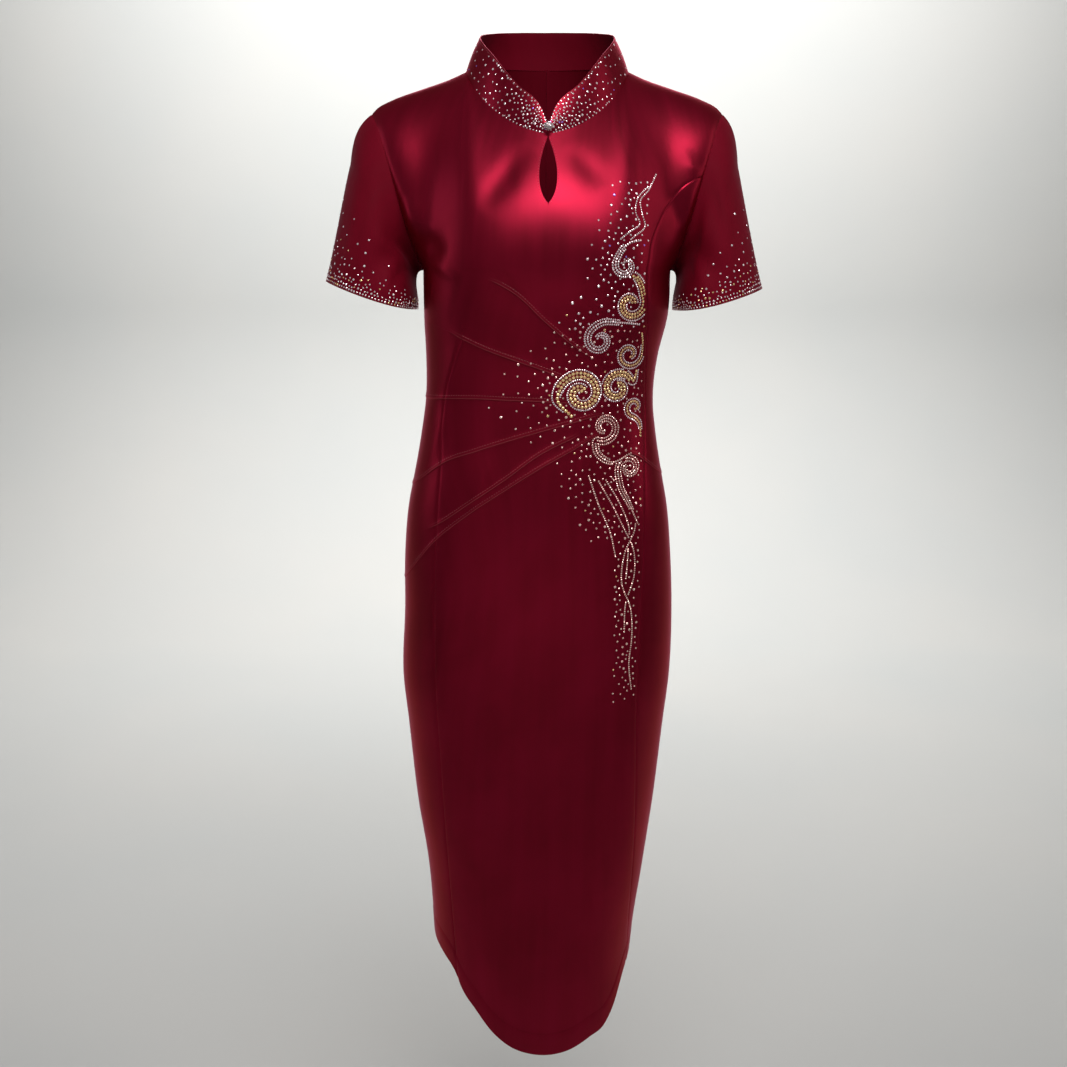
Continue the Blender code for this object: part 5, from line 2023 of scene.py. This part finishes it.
@dataclass(frozen=True)
class Studio:
    """Pale floor and backdrop, overhead soft light and the camera at the photograph's view."""

    eye: Triple = (-0.015, -1.25, -0.237)
    pitch: float = 12.5
    frame_size: float = 1067.0
    focal: float = 1070.0
    sensor: float = 36.0
    floor_z: float = -1.48
    wall_y: float = 3.6
    floor_depth: float = 8.0
    half_width: float = 6.0
    wall_top: float = 3.2
    corner_width: float = 1.2
    corner_segments: int = 24

    def camera(self) -> None:
        """Set up the camera."""
        data = bpy.data.cameras.new("camera")
        data.sensor_width = self.sensor
        data.lens = self.focal / self.frame_size * self.sensor
        data.clip_end = 30.0
        thing = bpy.data.objects.new("camera", data)
        thing.location = self.eye
        thing.rotation_euler = (radians(90 - self.pitch), 0.0, 0.0)
        bpy.context.scene.collection.objects.link(thing)
        bpy.context.scene.camera = thing

    def backdrop(self) -> None:
        """Build the floor and backdrop as one sweep with a rounded corner."""
        select()
        bpy.ops.mesh.primitive_plane_add(size=2.0, location=(0, 0, 0))
        sweep = bpy.context.active_object
        sweep.name = "studio_sweep"
        sweep.scale = (self.half_width, self.floor_depth / 2, 1)
        sweep.location = (0, self.wall_y - self.floor_depth / 2, self.floor_z)
        bpy.ops.object.transform_apply(location=True, rotation=True, scale=True)
        bpy.ops.object.mode_set(mode="EDIT")
        bm = bmesh.from_edit_mesh(sweep.data)
        for edge in bm.edges:
            edge.select = all(vert.co.y > self.wall_y - 0.01 for vert in edge.verts)
        bm.select_flush_mode()
        bmesh.update_edit_mesh(sweep.data)
        bpy.ops.mesh.select_mode(type="EDGE")
        bpy.ops.mesh.extrude_region_move(TRANSFORM_OT_translate={"value": (0, 0, self.wall_top - self.floor_z)})
        bpy.ops.object.mode_set(mode="OBJECT")
        corner = sweep.modifiers.new("corner", "BEVEL")
        corner.width = self.corner_width
        corner.segments = self.corner_segments
        bpy.ops.object.modifier_apply(modifier=corner.name)
        sweep.data.shade_smooth()
        sweep.data.materials.append(self.paint())

    @staticmethod
    def paint() -> Material:
        """Pale matt paint with a faint unevenness.

        Returns:
            The material.
        """
        material, wire, shader = new_material("pale_paint")
        place = wire.add("ShaderNodeTexCoord").outputs["Object"]
        noise = wire.add("ShaderNodeTexNoise", {"Vector": place, "Scale": 1.3, "Detail": 2.0})
        wire.feed(shader, {"Base Color": wire.mix(noise.outputs[0], (0.56, 0.58, 0.58, 1), (0.63, 0.62, 0.6, 1)),
                           "Roughness": 0.9})
        return material

    def lamp(self, name: str, place: Triple, target: Triple, size: Pair, power: float, colour: Triple,
             spread: float = 180.0) -> None:
        """Add a soft area lamp.

        Args:
            name: Its name.
            place: Where it stands.
            target: What it points at.
            size: Its width and height.
            power: Its power in watts.
            colour: Its colour.
            spread: Width of its beam in degrees.
        """
        data = bpy.data.lights.new(name, "AREA")
        data.spread = radians(spread)
        data.shape = "RECTANGLE"
        data.size, data.size_y = size
        data.energy = power
        data.color = colour
        thing = bpy.data.objects.new(name, data)
        thing.location = place
        thing.rotation_euler = (Vector(target) - Vector(place)).to_track_quat("-Z", "Y").to_euler()
        bpy.context.scene.collection.objects.link(thing)

    def lights(self) -> None:
        """Set up the lamps and the even light of the room."""
        self.lamp("overhead", (0.2, -1.28, 1.08), (0.0, -0.1, -0.2), (2.0, 0.35), 8.6, (1.0, 0.97, 0.95), 90)
        self.lamp("low_fill", (-1.3, -2.0, -0.2), (0.0, 0.0, -0.7), (0.7, 1.8), 0.65, (0.92, 0.95, 1.0))
        self.lamp("warm_side", (1.9, -0.1, 0.3), (0.0, 0.0, -0.5), (0.5, 1.6), 3.0, (1.0, 0.9, 0.82))
        self.lamp("cool_side", (-1.9, 0.0, 0.2), (0.0, 0.0, -0.4), (0.4, 1.4), 2.5, (0.94, 0.95, 1.0))
        self.lamp("back_soft", (0.3, 2.2, 1.2), (0.0, 0.0, -0.4), (2.4, 0.9), 6.0, (1.0, 0.98, 0.96), 120)
        self.lamp("wall_wash", (0.0, 1.9, 2.6), (0.0, 3.6, -0.4), (4.0, 0.6), 112.0, (1.0, 0.99, 0.97), 120)
        self.lamp("floor_wash", (0.0, -3.0, 2.6), (0.0, -4.6, -1.48), (5.0, 1.5), 75.0, (1.0, 0.99, 0.97), 80)
        self.room()
        bpy.context.scene.view_settings.view_transform = "Standard"

    @staticmethod
    def room() -> None:
        """Set the even light of the room, dimmer on the dress than where it is seen as a background."""
        world = bpy.data.worlds.new("room")
        world.use_nodes = True
        wire = Wiring(world.node_tree)
        seen = wire.add("ShaderNodeLightPath").outputs["Is Camera Ray"]
        wire.feed(world.node_tree.nodes["Background"], {"Color": (0.86, 0.88, 0.9, 1.0),
                                                        "Strength": wire.math("MULTIPLY_ADD", seen, 0.5, 0.15)})
        bpy.context.scene.world = world


RIGHT_SIDE = SatinFinish("satin_right_side", deep=(0.222, 0.0012, 0.015), light=(0.29, 0.0026, 0.024),
                         edge=(0.5, 0.075, 0.09), roughness=(0.32, 0.4), sheen=0.0,
                         sheen_tint=(1.0, 0.22, 0.4), specular=0.22, metallic=0.82, bump=0.3, coat=0.15)
REVERSE = SatinFinish("satin_reverse", deep=(0.13, 0.001, 0.008), light=(0.165, 0.0018, 0.012),
                      edge=(0.24, 0.014, 0.028), roughness=(0.6, 0.75), sheen=0.1,
                      sheen_tint=(1.0, 0.35, 0.5), specular=0.15, metallic=0.1, bump=0.5)

SLEEVE_RIGHT = Sleeve(name="sleeve_right", side=-1, inner=(0.148, -0.2515), outer=(0.2498, -0.22), swell=1.25,
                      cut_length=0.19,
                      creases=(Crease((0.1, 0.3), (0.55, 0.62), 0.07, 0.0022),
                               Crease((0.18, 0.46), (0.42, 0.9), 0.05, -0.0022),
                               Crease((0.78, 0.2), (0.7, 0.9), 0.06, 0.0014),
                               Crease((1.25, 0.25), (1.4, 0.95), 0.07, -0.0024),
                               Crease((1.72, 0.15), (1.48, 0.75), 0.06, 0.002)))
SLEEVE_LEFT = Sleeve(name="sleeve_left", side=1, inner=(0.1455, -0.2525), outer=(0.244, -0.228), swell=0.85,
                     creases=(Crease((0.42, 0.12), (0.4, 0.6), 0.06, 0.0022),
                              Crease((0.56, 0.1), (0.6, 0.66), 0.06, -0.002),
                              Crease((0.14, 0.25), (0.34, 0.85), 0.06, -0.0018),
                              Crease((1.3, 0.2), (1.36, 0.85), 0.06, -0.002),
                              Crease((1.62, 0.2), (1.52, 0.8), 0.07, 0.0022)))


@dataclass
class Dress:
    """The whole dress: cloth, stones and stitches, riding on the body."""

    form: BodyForm = field(default_factory=BodyForm)
    stitch_above: float = 0.0034
    stitch_beside: float = 0.0016
    stitch_at_hem: float = 0.994

    def declare(self, thing: Piece, node: str) -> None:
        """Hide the solid that a cloth piece stands for, let the piece ride on the body and log its faces and cloth
        area.

        Args:
            thing: The piece.
            node: The solid that it stands for.
        """
        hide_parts(node)
        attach(thing, BODY)
        cloth = sum(face.area for face in thing.data.polygons) / 2
        log.info("%s: %d faces, %.4f square metres of cloth", thing.name, len(thing.data.polygons), cloth)

    def front_stitches(self, thread: Material) -> Piece:
        """Sew the topstitching above each tuck and round the keyhole.

        Args:
            thread: Material of the thread.

        Returns:
            The stitches.
        """
        stitching = Stitching("stitches_front")
        for index, tuck in enumerate(self.form.tucks):
            start, end = tuck.ends
            across = np.linspace(max(start + 0.02, -0.97), min(end - 0.02, 0.97), 240)
            z = self.form.tuck_line(index, across) + self.stitch_above
            section = read(self.form.sections, z)
            x = section[..., 0] + section[..., 1] * across
            stitching.sew(*self.form.front_at(x, z))
        z = np.linspace(-0.144, -0.079, 80)
        half = read(FrontPanels.keyhole, z)[..., 0] + self.stitch_beside
        for way in (1, -1):
            stitching.sew(*self.form.front_at(half * way, z))
        return stitching.build(thread)

    def collar_stitches(self, collar: Collar, thread: Material) -> Piece:
        """Sew the edge stitching of the collar.

        Args:
            collar: The collar.
            thread: Material of the thread.

        Returns:
            The stitches.
        """
        stitching = Stitching("stitches_collar", length=0.0019, pitch=0.0027, thick=0.00016)
        place = np.linspace(0.03, 2.0, 500)
        for way in (1.0, -1.0):
            points, normals = collar.at(place, np.full(place.shape, 0.955), way)
            stitching.sew(points + normals * collar.wall / 2, normals)
        return stitching.build(thread)

    def sleeve_stitches(self, sleeve: Sleeve, thread: Material) -> Piece:
        """Sew the hem stitching of a sleeve.

        Args:
            sleeve: The sleeve.
            thread: Material of the thread.

        Returns:
            The stitches.
        """
        stitching = Stitching("stitches_" + sleeve.name)
        turn = np.linspace(0.0, 2.0, 500)
        points, normals = sleeve.at(turn, np.full(turn.shape, self.stitch_at_hem))
        stitching.sew(points + normals * sleeve.form.wall / 2, normals)
        return stitching.build(thread)

    def add_extra(self, thing: Piece) -> Piece:
        """Let a piece of trimming ride on the body.

        Args:
            thing: The piece.

        Returns:
            The piece.
        """
        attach(thing, BODY)
        log.info("%s: %d faces", thing.name, len(thing.data.polygons))
        return thing

    def build(self) -> None:
        """Build every piece in order."""
        crepe, tone = crepe_group(), tone_group()
        cloth = Cloth(RIGHT_SIDE.build(crepe, tone), REVERSE.build(crepe, tone))
        glass, thread, metal = StoneFinish().build(), ThreadFinish().build(), MetalFinish().build()
        front, side_left, side_right = FrontPanels(form=self.form).build(cloth)
        back_left, back_right = BackPanels(form=self.form).build(cloth)
        collar = Collar(form=self.form)
        band = collar.build(cloth)
        ornament = self.add_extra(CloudOrnament(form=self.form).build(glass))
        edges = EdgeStones()
        collar_stones = self.add_extra(edges.collar(collar, glass))
        topstitch = self.add_extra(self.front_stitches(thread))
        collar_edge = self.add_extra(self.collar_stitches(collar, thread))
        self.declare(front, "front_panel")
        self.declare(side_left, "side_front_left")
        self.declare(side_right, "side_front_right")
        self.declare(back_left, "back_left")
        self.declare(back_right, "back_right")
        self.declare(band, "collar")
        for sleeve in (SLEEVE_LEFT, SLEEVE_RIGHT):
            arm = sleeve.build(cloth)
            stones = self.add_extra(edges.sleeve(sleeve, glass))
            hem = self.add_extra(self.sleeve_stitches(sleeve, thread))
            self.declare(arm, sleeve.name)
        button = BallButton().build(metal, glass)
        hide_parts("button")
        self.add_extra(button)


def main() -> None:
    """Build the studio and the dress, and report each piece."""
    logging.basicConfig(level=logging.INFO, format="%(name)s: %(message)s")
    studio = Studio()
    studio.camera()
    studio.lights()
    studio.backdrop()
    Dress().build()


if __name__ == "__main__":
    main()
